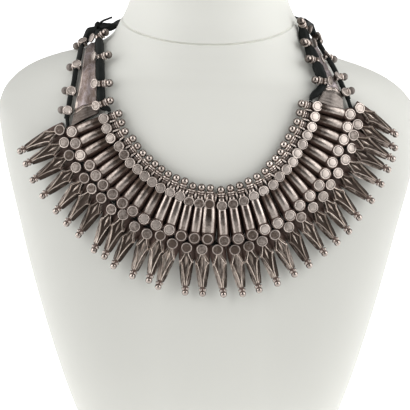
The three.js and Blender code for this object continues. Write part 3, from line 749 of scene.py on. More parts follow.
@contextmanager
def editing(piece, kind="FACE", action="SELECT"):
    """Edit mode on the piece alone, with all or none of it selected to start with."""
    picked(piece)
    bpy.ops.object.mode_set(mode="EDIT")
    bpy.ops.mesh.select_mode(type=kind)
    bpy.ops.mesh.select_all(action=action)
    yield
    bpy.ops.object.mode_set(mode="OBJECT")


def circle(count, radius, centre=(0, 0, 0), axes=FLAT):
    first, second = Vector(axes[0]), Vector(axes[1])
    turns = (2 * math.pi * i / count for i in range(count))
    return [Vector(centre) + first * radius * math.cos(a) + second * radius * math.sin(a) for a in turns]


def mirrored(y, ridge, half):
    """A section across a piece: its right half, from the ridge down, and the same on the left."""
    right = [Vector((x, y, z)) for x, z in half]
    left = [Vector((-x, y, z)) for x, z in reversed(half)]
    return left + [Vector((0, y, ridge))] + right


def lofted(name, rings):
    """A closed skin through rings of points, extruded one ring at a time from a filled circle."""
    deselect()
    bpy.ops.mesh.primitive_circle_add(vertices=len(rings[0]), radius=1, fill_type="NGON")
    piece = bpy.context.object
    piece.name = name
    for vertex, point in zip(piece.data.vertices, rings[0]):
        vertex.co = point
    last = range(len(rings[0]))
    with editing(piece):
        for ring in rings[1:]:
            bpy.ops.mesh.extrude_region_move()
            edit = bmesh.from_edit_mesh(piece.data)
            edit.verts.index_update()
            edit.verts.ensure_lookup_table()
            moved = []
            for index, point in zip(last, ring):
                corner = edit.verts[index]
                others = (edge.other_vert(corner) for edge in corner.link_edges)
                ahead = next(other for other in others if other.select)
                ahead.co = point
                moved.append(ahead.index)
            last = moved
        bmesh.update_edit_mesh(piece.data)
        bpy.ops.mesh.select_all(action="SELECT")
        bpy.ops.mesh.normals_make_consistent(inside=False)
    return piece


def bevel_sharp(piece, angle, width):
    """Rounds every edge sharper than the angle."""
    with editing(piece, "EDGE", "DESELECT"):
        bpy.ops.mesh.edges_select_sharp(sharpness=math.radians(angle))
        bpy.ops.mesh.bevel(offset=width, segments=2, affect="EDGES")


def smoothed(piece, angle):
    picked(piece)
    bpy.ops.object.shade_smooth_by_angle(angle=math.radians(angle))
    return piece


def in_metres(piece, *materials):
    """Scales the piece to the frame's metres and gives it its materials."""
    piece.data.transform(Matrix.Scale(MM, 4))
    for name in materials:
        piece.data.materials.append(bpy.data.materials[name])
    return piece


def painted(piece, names, rule=None):
    """Gives the piece its silvers, and each face the one that a rule picks by its middle and normal."""
    for name in names:
        piece.data.materials.append(bpy.data.materials[name])
    for polygon in piece.data.polygons if rule else ():
        polygon.material_index = names.index(rule(polygon.center, polygon.normal))


def with_local(piece, vectors=None):
    """Keeps the unit's own coordinates, in millimetres, for its materials, and makes room for its tone."""
    vectors = vectors or [vertex.co.copy() for vertex in piece.data.vertices]
    attribute = piece.data.attributes.new("local", "FLOAT_VECTOR", "POINT")
    for entry, vector in zip(attribute.data, vectors):
        entry.vector = vector
    piece.data.attributes.new("tone", "FLOAT", "POINT")
    return piece


def toned(mesh, tone):
    for entry in mesh.attributes["tone"].data:
        entry.value = tone


def placed(unit, name, frame, tone, chance=None):
    """A copy of a unit, with its own mesh, set down in the frame, and a little uneven with a chance."""
    mesh = unit.data.copy()
    if chance:
        for vertex in mesh.vertices:
            vertex.co += Vector([stray(chance, UNEVEN) for _ in range(3)])
    toned(mesh, tone)
    mesh.transform(Matrix.Scale(MM, 4) @ frame)
    piece = bpy.data.objects.new(name, mesh)
    bpy.context.scene.collection.objects.link(piece)
    return piece


def joined(pieces, name):
    deselect()
    for piece in pieces:
        piece.select_set(True)
    bpy.context.view_layer.objects.active = pieces[0]
    if len(pieces) > 1:
        bpy.ops.object.join()
    pieces[0].name = name
    return pieces[0]


def dropped(*units):
    for unit in units:
        bpy.data.objects.remove(unit)


def finished(piece, slot_name, *nodes):
    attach(piece, "root")
    if nodes:
        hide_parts(*nodes)
    return piece


def ring_finder(rings):
    """Finds the ring, and the place on it, that a corner or a face of a lofted piece belongs to."""
    points = [point for ring in rings for point in ring]
    tree = KDTree(len(points))
    for index, point in enumerate(points):
        tree.insert(point, index)
    tree.balance()
    return lambda spot: divmod(tree.find(spot)[1], len(rings[0]))


def swept(name, points, radii, sides, lobes, depth):
    """A bundle of threads along a line of points, of one radius or one for each point.

    Its turn and its distance are kept for its material.
    """
    last = len(points) - 1
    turns = [2 * math.pi * side / sides for side in range(sides)]
    rings = []
    for i, point in enumerate(points):
        along = (points[min(i + 1, last)] - points[max(i - 1, 0)]).normalized()
        off = off_bust(point, along)
        across = along.cross(off)
        size = radii[i] if isinstance(radii, list) else radii
        ring = []
        for turn in turns:
            out = size * (1 + depth * math.cos(lobes * turn))
            ring.append(point + (off * math.cos(turn) + across * math.sin(turn)) * out)
        rings.append(ring)
    piece = lofted(name, rings)
    ring_of, lengths = ring_finder(rings), distances(points)
    vectors = []
    for vertex in piece.data.vertices:
        level, side = ring_of(vertex.co)
        vectors.append((2 * math.cos(turns[side]), lengths[level], 2 * math.sin(turns[side])))
    return smoothed(in_metres(with_local(piece, vectors), "black_cord"), 60)


# ---- Materials -----------------------------------------------------------------------------------------


def new_material(name):
    material = bpy.data.materials.new(name)
    material.use_nodes = True
    return material.node_tree, material.node_tree.nodes["Principled BSDF"]


def wired(tree, target, sockets):
    """Links a node's sockets to other sockets, or gives them values."""
    for name, value in sockets.items():
        if isinstance(value, NodeSocket):
            tree.links.new(value, target.inputs[name])
        else:
            target.inputs[name].default_value = value
    return target


def node(tree, kind, sockets, **settings):
    made = tree.nodes.new("ShaderNode" + kind)
    for name, value in settings.items():
        setattr(made, name, value)
    return wired(tree, made, sockets)


def maths(tree, operation, *values, clamp=False):
    return node(tree, "Math", dict(enumerate(values)), operation=operation, use_clamp=clamp).outputs[0]


def noise(tree, vector, scale, detail, roughness, stretch=PLAIN):
    mapping = node(tree, "Mapping", {"Vector": vector, "Scale": stretch})
    sockets = {"Vector": mapping.outputs[0], "Scale": scale, "Detail": detail, "Roughness": roughness}
    return node(tree, "TexNoise", sockets).outputs["Fac"]


def ramp(tree, factor, stops):
    made = node(tree, "ValToRGB", {"Fac": factor})
    while len(made.color_ramp.elements) < len(stops):
        made.color_ramp.elements.new(0.5)
    for element, (place, colour) in zip(made.color_ramp.elements, stops):
        element.position = place
        element.color = (*colour, 1)
    return made.outputs["Color"]


def spread(tree, value, start, end, low=0.0, high=1.0, kind="LINEAR"):
    """Runs from low to high as the value goes from start to end."""
    sockets = {"Value": value, "From Min": start, "From Max": end, "To Min": low, "To Max": high}
    return node(tree, "MapRange", sockets, interpolation_type=kind).outputs["Result"]


def coordinates(tree, kind):
    """A texture coordinate, and its parts along X, Y and Z."""
    place = tree.nodes.new("ShaderNodeTexCoord").outputs[kind]
    return place, node(tree, "SeparateXYZ", {0: place}).outputs


def local_vector(tree):
    """The unit's own coordinates, the same shifted so that no two copies wear alike, and its tone."""
    local = node(tree, "Attribute", {}, attribute_name="local").outputs["Vector"]
    tone = node(tree, "Attribute", {}, attribute_name="tone").outputs["Fac"]
    offset = maths(tree, "MULTIPLY", tone, TONE_SHIFT)
    return local, node(tree, "VectorMath", {0: local, 1: offset}, operation="ADD").outputs["Vector"], tone


def bumped(tree, height, strength, distance):
    sockets = {"Height": height, "Strength": strength, "Distance": distance}
    return node(tree, "Bump", sockets).outputs["Normal"]


def tinted(colour, share):
    return tuple(share * part for part in colour)


def make_silver(name, finish, light, dark, tarnish):
    """Worn silver: blotches of tarnish, fine scratches along the streak, a tone for each copy.

    A painted shadow of the upper disc darkens the piece toward it, and a sharp silver has more contrast
    between its marks.
    """
    tree, shader = new_material(name)
    local, vector, tone = local_vector(tree)
    blotches = noise(tree, vector, 0.55, 5, 0.65, finish.streak if finish.sharp > BLOTCHED_BY else PLAIN)
    scratches = noise(tree, vector, 2.6, 3, 0.7, finish.streak)
    wear_and_shade = maths(tree, "MULTIPLY", scratches, SCRATCHED)
    wear_and_shade = maths(tree, "ADD", wear_and_shade, maths(tree, "MULTIPLY", blotches, BLOTCHED))
    wear_and_shade = maths(tree, "ADD", wear_and_shade, maths(tree, "MULTIPLY", tone, finish.tone_gain))
    level = WORN_MIDDLE * (1 - finish.sharp) - (0.1 + tarnish + finish.tarnish) * finish.sharp
    wear_and_shade = maths(tree, "MULTIPLY_ADD", wear_and_shade, finish.sharp, level)
    # Painted shadow of the upper disc over the bar's upper part.
    if finish.fade:
        along = node(tree, "SeparateXYZ", {0: local}).outputs["Y"]
        shaded = spread(tree, along, *DISC_SHADOW_REACH, finish.fade, 0.0, "SMOOTHSTEP")
        wear_and_shade = maths(tree, "SUBTRACT", wear_and_shade, shaded)
    wear_and_shade = maths(tree, "ADD", wear_and_shade, 0.0, clamp=True)
    middle = tuple((a + b) / 2 for a, b in zip(light, dark))
    height = maths(tree, "ADD", scratches, maths(tree, "MULTIPLY", blotches, 2.0))
    wired(tree, shader, {
        "Base Color": ramp(tree, wear_and_shade, ((0.12, dark), (WORN_MIDDLE, middle), (0.75, light))),
        "Roughness": maths(tree, "MULTIPLY_ADD", wear_and_shade, POLISH[1], finish.rough + POLISH[0]),
        "Metallic": finish.metal,
        "Normal": bumped(tree, height, finish.bump, 0.00012),
    })


def make_silvers(wear):
    colours = {name: tuple(getattr(wear, name)) for name in ("light", "dark", "brown", "black", "leaf")}
    colours["warm"] = tuple(part * tint for part, tint in zip(colours["light"], WARM))
    for name, finish in SILVERS.items():
        light, dark = (tinted(colours[colour], share) for colour, share in (finish.light, finish.dark))
        make_silver(name, finish, light, dark, wear.tarnish)


def make_cord_material(look):
    tree, shader = new_material("black_cord")
    _, vector, _ = local_vector(tree)
    threads = noise(tree, vector, 2.2, 2, 0.5, (2.2, 0.18, 2.2))
    fuzz = noise(tree, vector, 5.0, 4, 0.7)
    mixed = maths(tree, "ADD", maths(tree, "MULTIPLY", threads, 0.7), maths(tree, "MULTIPLY", fuzz, 0.3))
    wired(tree, shader, {
        "Base Color": ramp(tree, mixed, ((0.35, tuple(look.colour)), (0.7, tinted(look.colour, 2.4)))),
        "Roughness": 0.6,
        "Specular IOR Level": 0.16,
        "Normal": bumped(tree, mixed, 0.5, 0.0003),
    })


def make_bust_material(look):
    """A pale cover with blotches of handling, painted shade toward the arms, and painted light on the neck
    and on the right.
    """
    tree, shader = new_material("bust_cover")
    place, parts = coordinates(tree, "Object")
    # Painted shade toward the arms, painted light on the neck and on the right side.
    side_shade = maths(tree, "SUBTRACT", maths(tree, "ABSOLUTE", parts["X"]), COVER_SIDE_SHADE[0])
    side_shade = maths(tree, "MULTIPLY", maths(tree, "MAXIMUM", side_shade, 0.0), COVER_SIDE_SHADE[1])
    above = maths(tree, "SUBTRACT", parts["Z"], COVER_NECK_LIGHT[0])
    above = maths(tree, "MAXIMUM", maths(tree, "MULTIPLY", above, COVER_NECK_LIGHT[1]), 0.0)
    above = maths(tree, "MINIMUM", above, COVER_NECK_LIGHT[2])
    right_light = maths(tree, "MULTIPLY", maths(tree, "MULTIPLY", parts["X"], above), COVER_RIGHT_LIGHT)
    light_and_handling = maths(tree, "MULTIPLY", noise(tree, place, 9, 3, 0.5), COVER_HANDLED[0])
    light_and_handling = maths(tree, "SUBTRACT", light_and_handling, side_shade)
    light_and_handling = maths(tree, "ADD", maths(tree, "ADD", light_and_handling, right_light), above)
    light_and_handling = maths(tree, "ADD", light_and_handling, COVER_HANDLED[1], clamp=True)
    wear_and_shade, lit = (tinted(look.colour, share) for share in COVER_SHADES)
    stops = ((0.0, wear_and_shade), (0.6, tuple(look.colour)), (1.0, lit))
    wired(tree, shader, {
        "Base Color": ramp(tree, light_and_handling, stops),
        "Roughness": look.roughness,
        "Normal": bumped(tree, noise(tree, place, 900, 3, 0.6), 0.12, 0.00008),
    })


# ---- Pieces --------------------------------------------------------------------------------------------


def bust_ring(level, sides, inset=0.0, dip=0.0):
    """A ring round the bust at a level, which may dip toward the front."""
    ring = []
    for i in range(sides):
        turn = 2 * math.pi * i / sides
        c, s = math.cos(turn), math.sin(turn)
        height = level - dip * max(0.0, -s) ** 1.5
        power = bust_power(height)
        x = (bust_half_width(height) - inset) * math.copysign(abs(c) ** (2 / power), c)
        depth = (bust_front(height) if s < 0 else bust_back(height)) - inset
        y = depth * math.copysign(abs(s) ** (2 / power), s)
        x *= 1 + FOOT_SPREAD[x > 0] * max(0.0, 1 - height / FOOT_SPREAD_TOP)
        sag = shoulder_drop(height) * (x + RIGHT_SAG * max(0.0, x)) / SHOULDER_REACH
        ring.append(Vector((x, y, height - sag)))
    return ring


def make_bust(look):
    rings = [bust_ring(0.0, look.sides, 0.8)]
    for height in BUST_LEVELS:
        away = abs(height - SEAM_HEIGHT)
        groove = look.seam * max(0.0, 1 - away / SEAM_HALF_WIDTH) + SEAM_STEP * (height > SEAM_HEIGHT)
        rings.append(bust_ring(height, look.sides, groove, SEAM_DIP * max(0.0, 1 - away / SEAM_DIP_REACH)))
    rings += [bust_ring(height, look.sides, inset) for height, inset in BUST_CROWN]
    bust = lofted("bust", rings)
    with editing(bust, action="DESELECT"):
        edit = bmesh.from_edit_mesh(bust.data)
        for face in edit.faces:
            face.select_set(abs(face.normal.z) > 0.99)
        edit.select_flush_mode()
        bmesh.update_edit_mesh(bust.data)
        bpy.ops.mesh.inset(thickness=4)
    finished(smoothed(in_metres(bust, "bust_cover"), 35), "bust", "neck_bust")


def round_unit(name, rows, axis_height, sides=20):
    """A turned body about a line along Y, painted row by row, with the undersides of its balls in shade."""
    piece = lofted(name, [circle(sides, row.radius, (0, row.along, axis_height), UPRIGHT) for row in rows])
    names = [*dict.fromkeys("silver_" + row.material for row in rows), "silver_shade"]

    def rule(middle, normal):
        for before, after in zip(rows, rows[1:]):
            if middle.y <= after.along + 1e-4:
                low = before.material == "ball" and normal.z < 0.6
                return "silver_shade" if low else "silver_" + before.material
        return names[-2]

    painted(piece, names, rule)
    return with_local(smoothed(piece, 50))


def disc_unit(name, radius):
    rings = [circle(28, radius * share, (0, 0, height * DISC_THICKNESS)) for height, share in DISC_ROWS]
    disc = lofted(name, rings)

    def rule(middle, _):
        out = math.hypot(middle.x, middle.y) / radius
        if middle.z < -0.5 * DISC_THICKNESS or DISC_GROOVE[0] < out < DISC_GROOVE[1]:
            return "silver_body"
        # The rim takes a painted highlight over rubbed silver, the face a painted dark reflection.
        return "silver_face" if out < DISC_FACE else "silver_edge"

    painted(disc, ("silver_body", "silver_edge", "silver_face"), rule)
    return with_local(smoothed(disc, 50))


# A dark dish of painted shadow, set under a bar's lower disc.
def shadow_dish_unit(name, radius):
    seat = lofted(name, [circle(28, radius * share, (0, 0, height)) for height, share in SHADOW_DISH_ROWS])
    painted(seat, ("silver_hollow",))
    return with_local(smoothed(seat, 50))


def bar_unit(spread=1.0, rounded=False):
    """A bar with a flat crown between bevels painted bright as highlights over rubbed silver, or with a
    round back; its sides, foot and lower end take painted shade.
    """
    rings = []
    falls = (0.12, 0.75) if rounded else (0.0, 0.45)
    for row in BAR_ROWS:
        crown = row.crown * spread
        skirt = max(BAR_SKIRT * row.skirt, crown + (0.15 if spread == 1 else 1.6))
        under = BAR_UNDER + max(0.0, (-row.y - 1) * 0.35)
        shoulder = (crown + 0.5 * (skirt - crown), under + 0.5 * (row.top - under))
        half = [(0.5 * crown, row.top - falls[0]), (crown, row.top - falls[1]), shoulder, (skirt, under)]
        rings.append(mirrored(row.y, row.top + 0.03, half))
    body = lofted("bar", rings)
    bevel_sharp(body, 32, 0.4 if rounded else 0.12)
    top = "silver_crown" if rounded else "silver_flat"

    def rule(middle, normal):
        # Sides, ends, foot and the part under the lower disc: painted shade over blackened patina.
        if abs(normal.y) > 0.8 or normal.z < (0.5 if rounded else 0.35) or middle.y > BAR_FOOT:
            return "silver_hollow"
        bevelled = abs(middle.x) > 0.52 * spread * bar_crown(middle.y)
        return "silver_edge" if bevelled and not (rounded and spread == 1) else top

    painted(body, (top, "silver_edge", "silver_hollow"), rule)
    return with_local(smoothed(body, 50 if rounded else 34))


def spear_unit():
    """A spear with a hollow between two ridges, which turn out to its flanks at the elbow."""
    rings = []
    for row in SPEAR_ROWS:
        half = [
            (max(row.ridge - 0.3, 0.06), row.floor + 0.1),
            (row.ridge, row.top),
            (row.ridge + 0.34, row.top - 0.35),
            (max(row.half_width - 0.42, row.ridge + 0.4), row.flank - 0.12),
            (row.half_width, row.flank),
            (row.skirt, 0.5 * row.flank),
            (0.9 * row.skirt, SPEAR_UNDER),
        ]
        rings.append(mirrored(row.y, row.floor, half))
    body = lofted("spear", rings)
    bevel_sharp(body, 50, 0.1)

    def rule(middle, normal):
        beyond = abs(middle.x) - spear_ridge(middle.y)
        # Underside and skirt: painted shadow between the spears.
        if normal.z < 0.1 or middle.z < spear_flank(middle.y) - 0.15:
            return "silver_hollow"
        # The hollow between the ridges takes painted shade.
        if beyond < -0.2 and not (SPEAR_ELBOW[0] < middle.y < SPEAR_ELBOW[1] and beyond > -0.7):
            return "spear_hollow"
        if beyond < 0.3 or (SPEAR_ELBOW[0] - 0.2 < middle.y < SPEAR_ELBOW[1] + 0.2 and beyond > 0):
            return "spear_edge"
        # One flank below the elbow takes painted shade; the other keeps the flank silver.
        return "spear_flank" if middle.x > 0 or middle.y < 9 else "spear_hollow"

    painted(body, ("spear_edge", "spear_flank", "spear_hollow", "silver_hollow"), rule)
    return with_local(smoothed(body, 40))


def almond_unit():
    rings = []
    for row in ALMOND_ROWS:
        corners = ((row.half_width, row.top - 1.2), (0.3 * row.half_width, row.top))
        right = [Vector((x, row.y, z)) for x, z in corners]
        rings.append(right + [Vector((-x, row.y, z)) for x, z in reversed(corners)])
    almond = lofted("almond", rings)
    bevel_sharp(almond, 40, 0.06)
    painted(almond, ("spear_edge",))
    return with_local(smoothed(almond, 50))


def granule_unit():
    deselect()
    bpy.ops.mesh.primitive_uv_sphere_add(segments=14, ring_count=9, radius=GRANULE_RADIUS)
    granule = bpy.context.object
    silvers = ("silver_ball", "silver_shade")
    painted(granule, silvers, lambda _, normal: silvers[normal.z <= 0.5])
    return with_local(smoothed(granule, 60))


def jump_ring_unit(major, minor):
    """A jump ring across X: a small circle spun round its axis."""
    deselect()
    bpy.ops.mesh.primitive_circle_add(vertices=8, radius=minor, fill_type="NOTHING")
    ring = bpy.context.object
    ring.data.transform(Matrix.Translation((major, 0, 0)) @ Matrix.Rotation(math.pi / 2, 4, "X"))
    with editing(ring, "VERT"):
        bpy.ops.mesh.spin(steps=28, angle=2 * math.pi, center=(0, 0, 0), axis=(0, 0, 1))
        bpy.ops.mesh.select_all(action="SELECT")
        bpy.ops.mesh.remove_doubles(threshold=0.001)
        bpy.ops.mesh.normals_make_consistent(inside=False)
    ring.data.transform(Matrix.Rotation(math.pi / 2, 4, "Y"))
    painted(ring, ("silver_edge",))
    return with_local(smoothed(ring, 60))


def stray(chance, most):
    return chance.uniform(-most, most)


def disc_frame(frame, y, height, chance, tilt=5.0):
    """Where a disc sits over a frame, leaning a little by chance."""
    lean = Matrix.Rotation(math.radians(stray(chance, tilt)), 4, "X")
    lean @= Matrix.Rotation(math.radians(stray(chance, tilt)), 4, "Y")
    return frame @ Matrix.Translation((0, y, height)) @ lean


def make_bars():
    flat, back, wide = bar_unit(), bar_unit(rounded=True), bar_unit(WIDE_BAR[1], True)
    finial = round_unit("finial", FINIAL_ROWS, FINIAL_AXIS)
    upper = disc_unit("upper_disc", BAR_UPPER_DISC[0] * DISC_SHARE)
    lower = disc_unit("lower_disc", BAR_LOWER_DISC[0] * DISC_SHARE)
    ring, seat = jump_ring_unit(*JUMP_RING), shadow_dish_unit("seat", BAR_SHADOW_DISH[0])
    holes = [frame @ HOLE_INNER for frame in BAR_FRAMES]
    for index, (stretch, frames) in enumerate(zip(STRETCHES, STRETCH_FRAMES)):
        name = f"bars_{index + 1:02d}"
        pieces = []
        for step, frame in enumerate(frames):
            number = index * BARS_IN_STRETCH + step
            chance = random.Random(f"bar {number}")
            tones = [stretch.polish + stray(chance, BAR_TONE) for _ in range(2)]
            body = wide if number == WIDE_BAR[0] else flat if number in FLAT_BARS else back
            pieces.append(placed(body, name, frame, BAR_BODY_TONE[0] + BAR_BODY_TONE[1] * tones[0]))
            pieces.append(placed(finial, name, frame, tones[1]))
            for disc, y, height in ((upper, 0, BAR_UPPER_DISC[1]), (lower, BAR_LENGTH, BAR_LOWER_DISC[1])):
                spot = disc_frame(frame, y, height, chance)
                pieces.append(placed(disc, name, spot, stretch.polish + stray(chance, DISC_TONE)))
            # The dish of painted shadow under the lower disc.
            spot = frame @ Matrix.Translation((0, BAR_LENGTH, BAR_SHADOW_DISH[1]))
            pieces.append(placed(seat, name, spot, stretch.polish + stray(chance, BAR_TONE)))
            if number + 1 < len(holes):
                middle = holes[number].lerp(holes[number + 1], 0.5)
                along = (holes[number + 1] - holes[number]).normalized()
                tone = stretch.polish + stray(chance, BAR_TONE)
                pieces.append(placed(ring, name, cord_frame(middle, along), tone))
        finished(joined(pieces, "dressed_" + name), "silver", name)
    dropped(flat, back, wide, finial, upper, lower, ring, seat)


def make_spears():
    body, foot = spear_unit(), round_unit("foot", FOOT_ROWS, FOOT_AXIS, 18)
    disc = disc_unit("head_disc", SPEAR_DISC[0] * DISC_SHARE)
    almond, granule = almond_unit(), granule_unit()
    for index, spear in enumerate(SPEARS):
        name = f"spear_{index + 1:02d}"
        chance = random.Random(name)
        frame = spear_frame(spear)
        tone = SPEAR_TONES[abs(spear.angle) < SPEAR_FRONT]
        face = SPEAR_FACE_TONES[spear.angle > SPEAR_RIGHT]
        ends, faces, almonds = SPEAR_STRAY
        pieces = [
            placed(body, name, frame, tone + stray(chance, ends), chance),
            placed(foot, name, frame, SPEAR_FOOT_TONE + stray(chance, ends)),
            placed(disc, name, disc_frame(frame, 0, SPEAR_DISC[1], chance, 7), face + stray(chance, faces)),
        ]
        if chance.random() < ALMOND_SHARE:
            pieces.append(placed(almond, name, frame, ALMOND_TONE + stray(chance, almonds), chance))
        for side in (-1, 1):
            spot = Matrix.Translation((side * GRANULE_PLACE[0], *GRANULE_PLACE[1:]))
            pieces.append(placed(granule, name, frame @ spot, 0.5))
        finished(joined(pieces, "dressed_" + name), "silver", name)
    dropped(body, foot, disc, almond, granule)


def make_cords():
    """The two cords along the bars, each carried on past its last holes, the outer one to the strands."""
    inner, outer = ([frame @ hole for frame in BAR_FRAMES] for hole in (HOLE_INNER, HOLE_OUTER))
    inner_ends = [end + (end - second) * INNER_CORD_END for end, second in (inner[:2], inner[:-3:-1])]
    strands = [Vector(CORDS["outer_strand_" + side].route[0]) for side in ("left", "right")]
    outer_ends = [strand.lerp(end, OUTER_CORD_END) for strand, end in zip(strands, (outer[0], outer[-1]))]
    for name, holes, ends in (("inner_cord", inner, inner_ends), ("outer_cord", outer, outer_ends)):
        points = Route([ends[0], *holes, ends[1]], 6).spaced(CORD_SPACING)
        finished(swept(name, points, CORD_RADII[name], 16, 5, 0.06), "cord")


def strand_radius(cord, share, length):
    """A strand's radius along it: drawn in at each spacer, thin at its start and thick at its lashing."""
    near = min(abs(share - spacer) for spacer in cord.spacers) * length
    swell = cord.swell if share > cord.spacers[0] else STRAND_FIRST_SWELL
    full = STRAND_WAIST + swell * min(1.0, near / STRAND_SWELL_REACH)
    start = 1.0
    if cord.kind == "inner":
        start = min(1.0, STRAND_START[0] + (1 - STRAND_START[0]) * share * length / STRAND_START[1])
    lashed = cord.lashed * max(0.0, 1 - (1 - share) * length / LASHING_LENGTH)
    return cord.radius * full * start * (1 + lashed)


def make_strands():
    collar = [row for row in FINIAL_ROWS if row.along < BARREL_ROWS[0].along]
    # The outer spacers' balls take the dark body silver.
    darkened_collar = [row._replace(material="body") if row.material == "ball" else row for row in collar]
    finials = {
        "inner": round_unit("finial", (*collar, *BARREL_ROWS), FINIAL_AXIS),
        "outer": round_unit("dull_finial", (*darkened_collar, *BARREL_ROWS), FINIAL_AXIS),
    }
    disc = disc_unit("spacer_disc", SPACER_DISC)
    for name, cord in CORDS.items():
        route = Route(cord.route)
        points = route.spaced(STRAND_SPACING)
        last = len(points) - 1
        if cord.reach:
            points[0] += (points[0] - points[1]) * 2
            points += Route([points[-1], Vector(cord.reach)]).spaced(STRAND_SPACING)[1:]
        radii = [strand_radius(cord, min(1.0, i / last), route.length) for i in range(len(points))]
        pieces = [swept(name, points, radii, 28, 7, 0.07)]
        spacer = SPACERS[cord.kind]
        for number, (share, tilt, roll) in enumerate(zip(cord.spacers, cord.tilts, cord.rolls)):
            frame = cord_frame(*route.at(share), cord.side)
            tone = SPACER_TONE[0] + stray(random.Random(f"{name} {number}"), SPACER_TONE[1])
            shift = Matrix.Translation((0, -spacer.ball - BALL_MIDDLE, spacer.lift - FINIAL_AXIS))
            lean = Matrix.Rotation(math.radians(roll), 4, "Y")
            lean @= Matrix.Rotation(math.radians(-tilt), 4, "X")
            seat = frame @ Matrix.Translation((0, spacer.disc_side, spacer.disc_height)) @ lean
            pieces += [
                placed(finials[cord.kind], name, frame @ shift, tone),
                placed(disc, name, seat @ Matrix.Scale(spacer.disc_radius / SPACER_DISC, 4), tone),
            ]
        finished(joined(pieces, "dressed_" + name), "cord", name)
    dropped(*finials.values(), disc)


def leaf_relief(level):
    """How far the leaf stands up at a level: fine grooves in the cap, then two rims."""
    grooves = 0.09 * math.sin(level * 2 * math.pi * 4) if level < 1.5 else 0.0
    return grooves + sum(0.5 * math.exp(-(((level - rim) / 0.1) ** 2)) for rim in LEAF_RIMS)


def make_terminal(name, rows, tone, inward):
    """A leaf from the foot of its cap to its tip, folded along its middle and tucked under its strand."""
    curves = [smooth(range(len(rows)), values) for values in zip(*((*row.at, *row[1:]) for row in rows))]
    count = (len(rows) - 1) * LEAF_STEPS
    stations = [[curve(i / LEAF_STEPS) for curve in curves] for i in range(count + 1)]
    centres = [settled(station[:3], LEAF_SEAT) for station in stations]
    rings = []
    for i, (_, _, _, width, turn, edge, fold) in enumerate(stations):
        middle, level = centres[i], i / LEAF_STEPS
        along = (centres[min(i + 1, count)] - centres[max(i - 1, 0)]).normalized()
        off = off_bust(middle, along)
        across = Matrix.Rotation(math.radians(turn), 3, off) @ Vector((1, 0, 0))
        across = (across - off * across.dot(off)).normalized()
        tuck = LEAF_TUCK[0] + LEAF_TUCK[1] * max(0.0, 1 - 0.5 * level)
        left, right = (
            settled(middle + across * side * (width / 2 + (tuck if side == inward else 0.0)), LEAF_SEAT)
            for side in (-1, 1)
        )
        arch = LEAF_ARCH * max(0.0, min(level, 1.0, 3 - level))
        foot = LEAF_FOOT * max(0.0, 1 - level)
        relief = leaf_relief(level)
        slope = [(0.0, 0.0)]
        for place, by_edge, by_fold, added in LEAF_SLOPE:
            slope.append((place, edge * by_edge + fold * by_fold + added))
        section = [(left, *spot) for spot in slope] + [(middle, 1.0, fold)]
        section += [(right, *spot) for spot in reversed(slope)] + [(middle, 1.0, 0.0)]
        ring = []
        for side, share, height in section:
            raised = height + relief if height else 0.0
            lifted = arch * (1 - (1 - share) ** 2) - foot
            ring.append(side.lerp(middle, share) + off * raised + along * lifted)
        rings.append(ring)
    leaf = lofted(name, rings)
    ring_of = ring_finder(rings)

    def rule(middle, _):
        level, side = ring_of(middle)
        level /= LEAF_STEPS
        # Rims and edges: painted highlights over rubbed silver.
        rim = min(abs(level - place) for place in LEAF_RIMS) < LEAF_RIM_WIDTH
        if rim or (level > LEAF_EDGES[0] and side in LEAF_EDGES[1]):
            return "silver_edge"
        return "leaf_cap" if level < LEAF_RIMS[-1] else "leaf_silver"

    painted(leaf, ("leaf_silver", "leaf_cap", "silver_edge"), rule)
    toned(with_local(leaf).data, tone)
    finished(smoothed(in_metres(leaf), 35), "leaf", name)


def make_terminals():
    for (name, rows), tone, inward in zip(TERMINALS.items(), LEAF_TONES, (1, -1)):
        make_terminal(name, rows, tone, inward)


def make_nape():
    points = [Vector(NAPE_ENDS[0])]
    for i in range(NAPE_STEPS + 1):
        share = i / NAPE_STEPS
        turn = math.radians(NAPE_TURNS[0] + share * (NAPE_TURNS[1] - NAPE_TURNS[0]))
        x, y = -math.sin(turn), -math.cos(turn)
        height = NAPE_HEIGHTS[0] + share * (NAPE_HEIGHTS[1] - NAPE_HEIGHTS[0])
        out = 1 / reach_of((x, y, height)) + NAPE_CLEARANCE
        points.append(Vector((x * out, y * out, height)))
    points.append(Vector(NAPE_ENDS[1]))
    points[0] += (points[0] - points[1]).normalized() * NAPE_TUCK
    points = Route(points, 12).spaced(NAPE_SPACING)
    flares = [max(0.0, 1 - i * NAPE_SPACING / NAPE_FLARE[1]) for i in range(len(points))]
    radii = [NAPE_RADIUS + NAPE_FLARE[0] * flare for flare in flares]
    finished(swept("dressed_nape_cord", points, radii, 24, 6, 0.06), "cord", "nape_cord")


def make_tie():
    """The knot, wound round its middle, and the end of its thread."""
    steps = KNOT_TURNS * 6
    rings = []
    for i in range(steps + 1):
        share = i / steps
        round_off = max(0.12, math.sqrt(max(0.02, 1 - (2 * share - 1) ** 2)))
        coil = 1 + 0.09 * math.cos(2 * math.pi * KNOT_TURNS * share)
        centre = Vector(KNOT_CENTRE) + Vector((0, 0, (share - 0.5) * KNOT_LENGTH))
        rings.append(circle(24, KNOT_RADIUS * round_off * coil, centre))
    knot = smoothed(in_metres(with_local(lofted("knot", rings)), "black_cord"), 60)
    tail = swept("tail", Route(TAIL_ROUTE).spaced(0.6), TAIL_RADIUS, 12, 4, 0.08)
    finished(joined([knot, tail], "dressed_tie_knot"), "cord", "tie_knot")


# ---- The stage -----------------------------------------------------------------------------------------

LENS = 182.9
CAMERA_PLACE = (-0.0023, -1.2074, 0.4715)
CAMERA_TARGET = (-0.0023, 0, 0.148)
SOFTBOX_TARGET = (0, 0, 0.2)


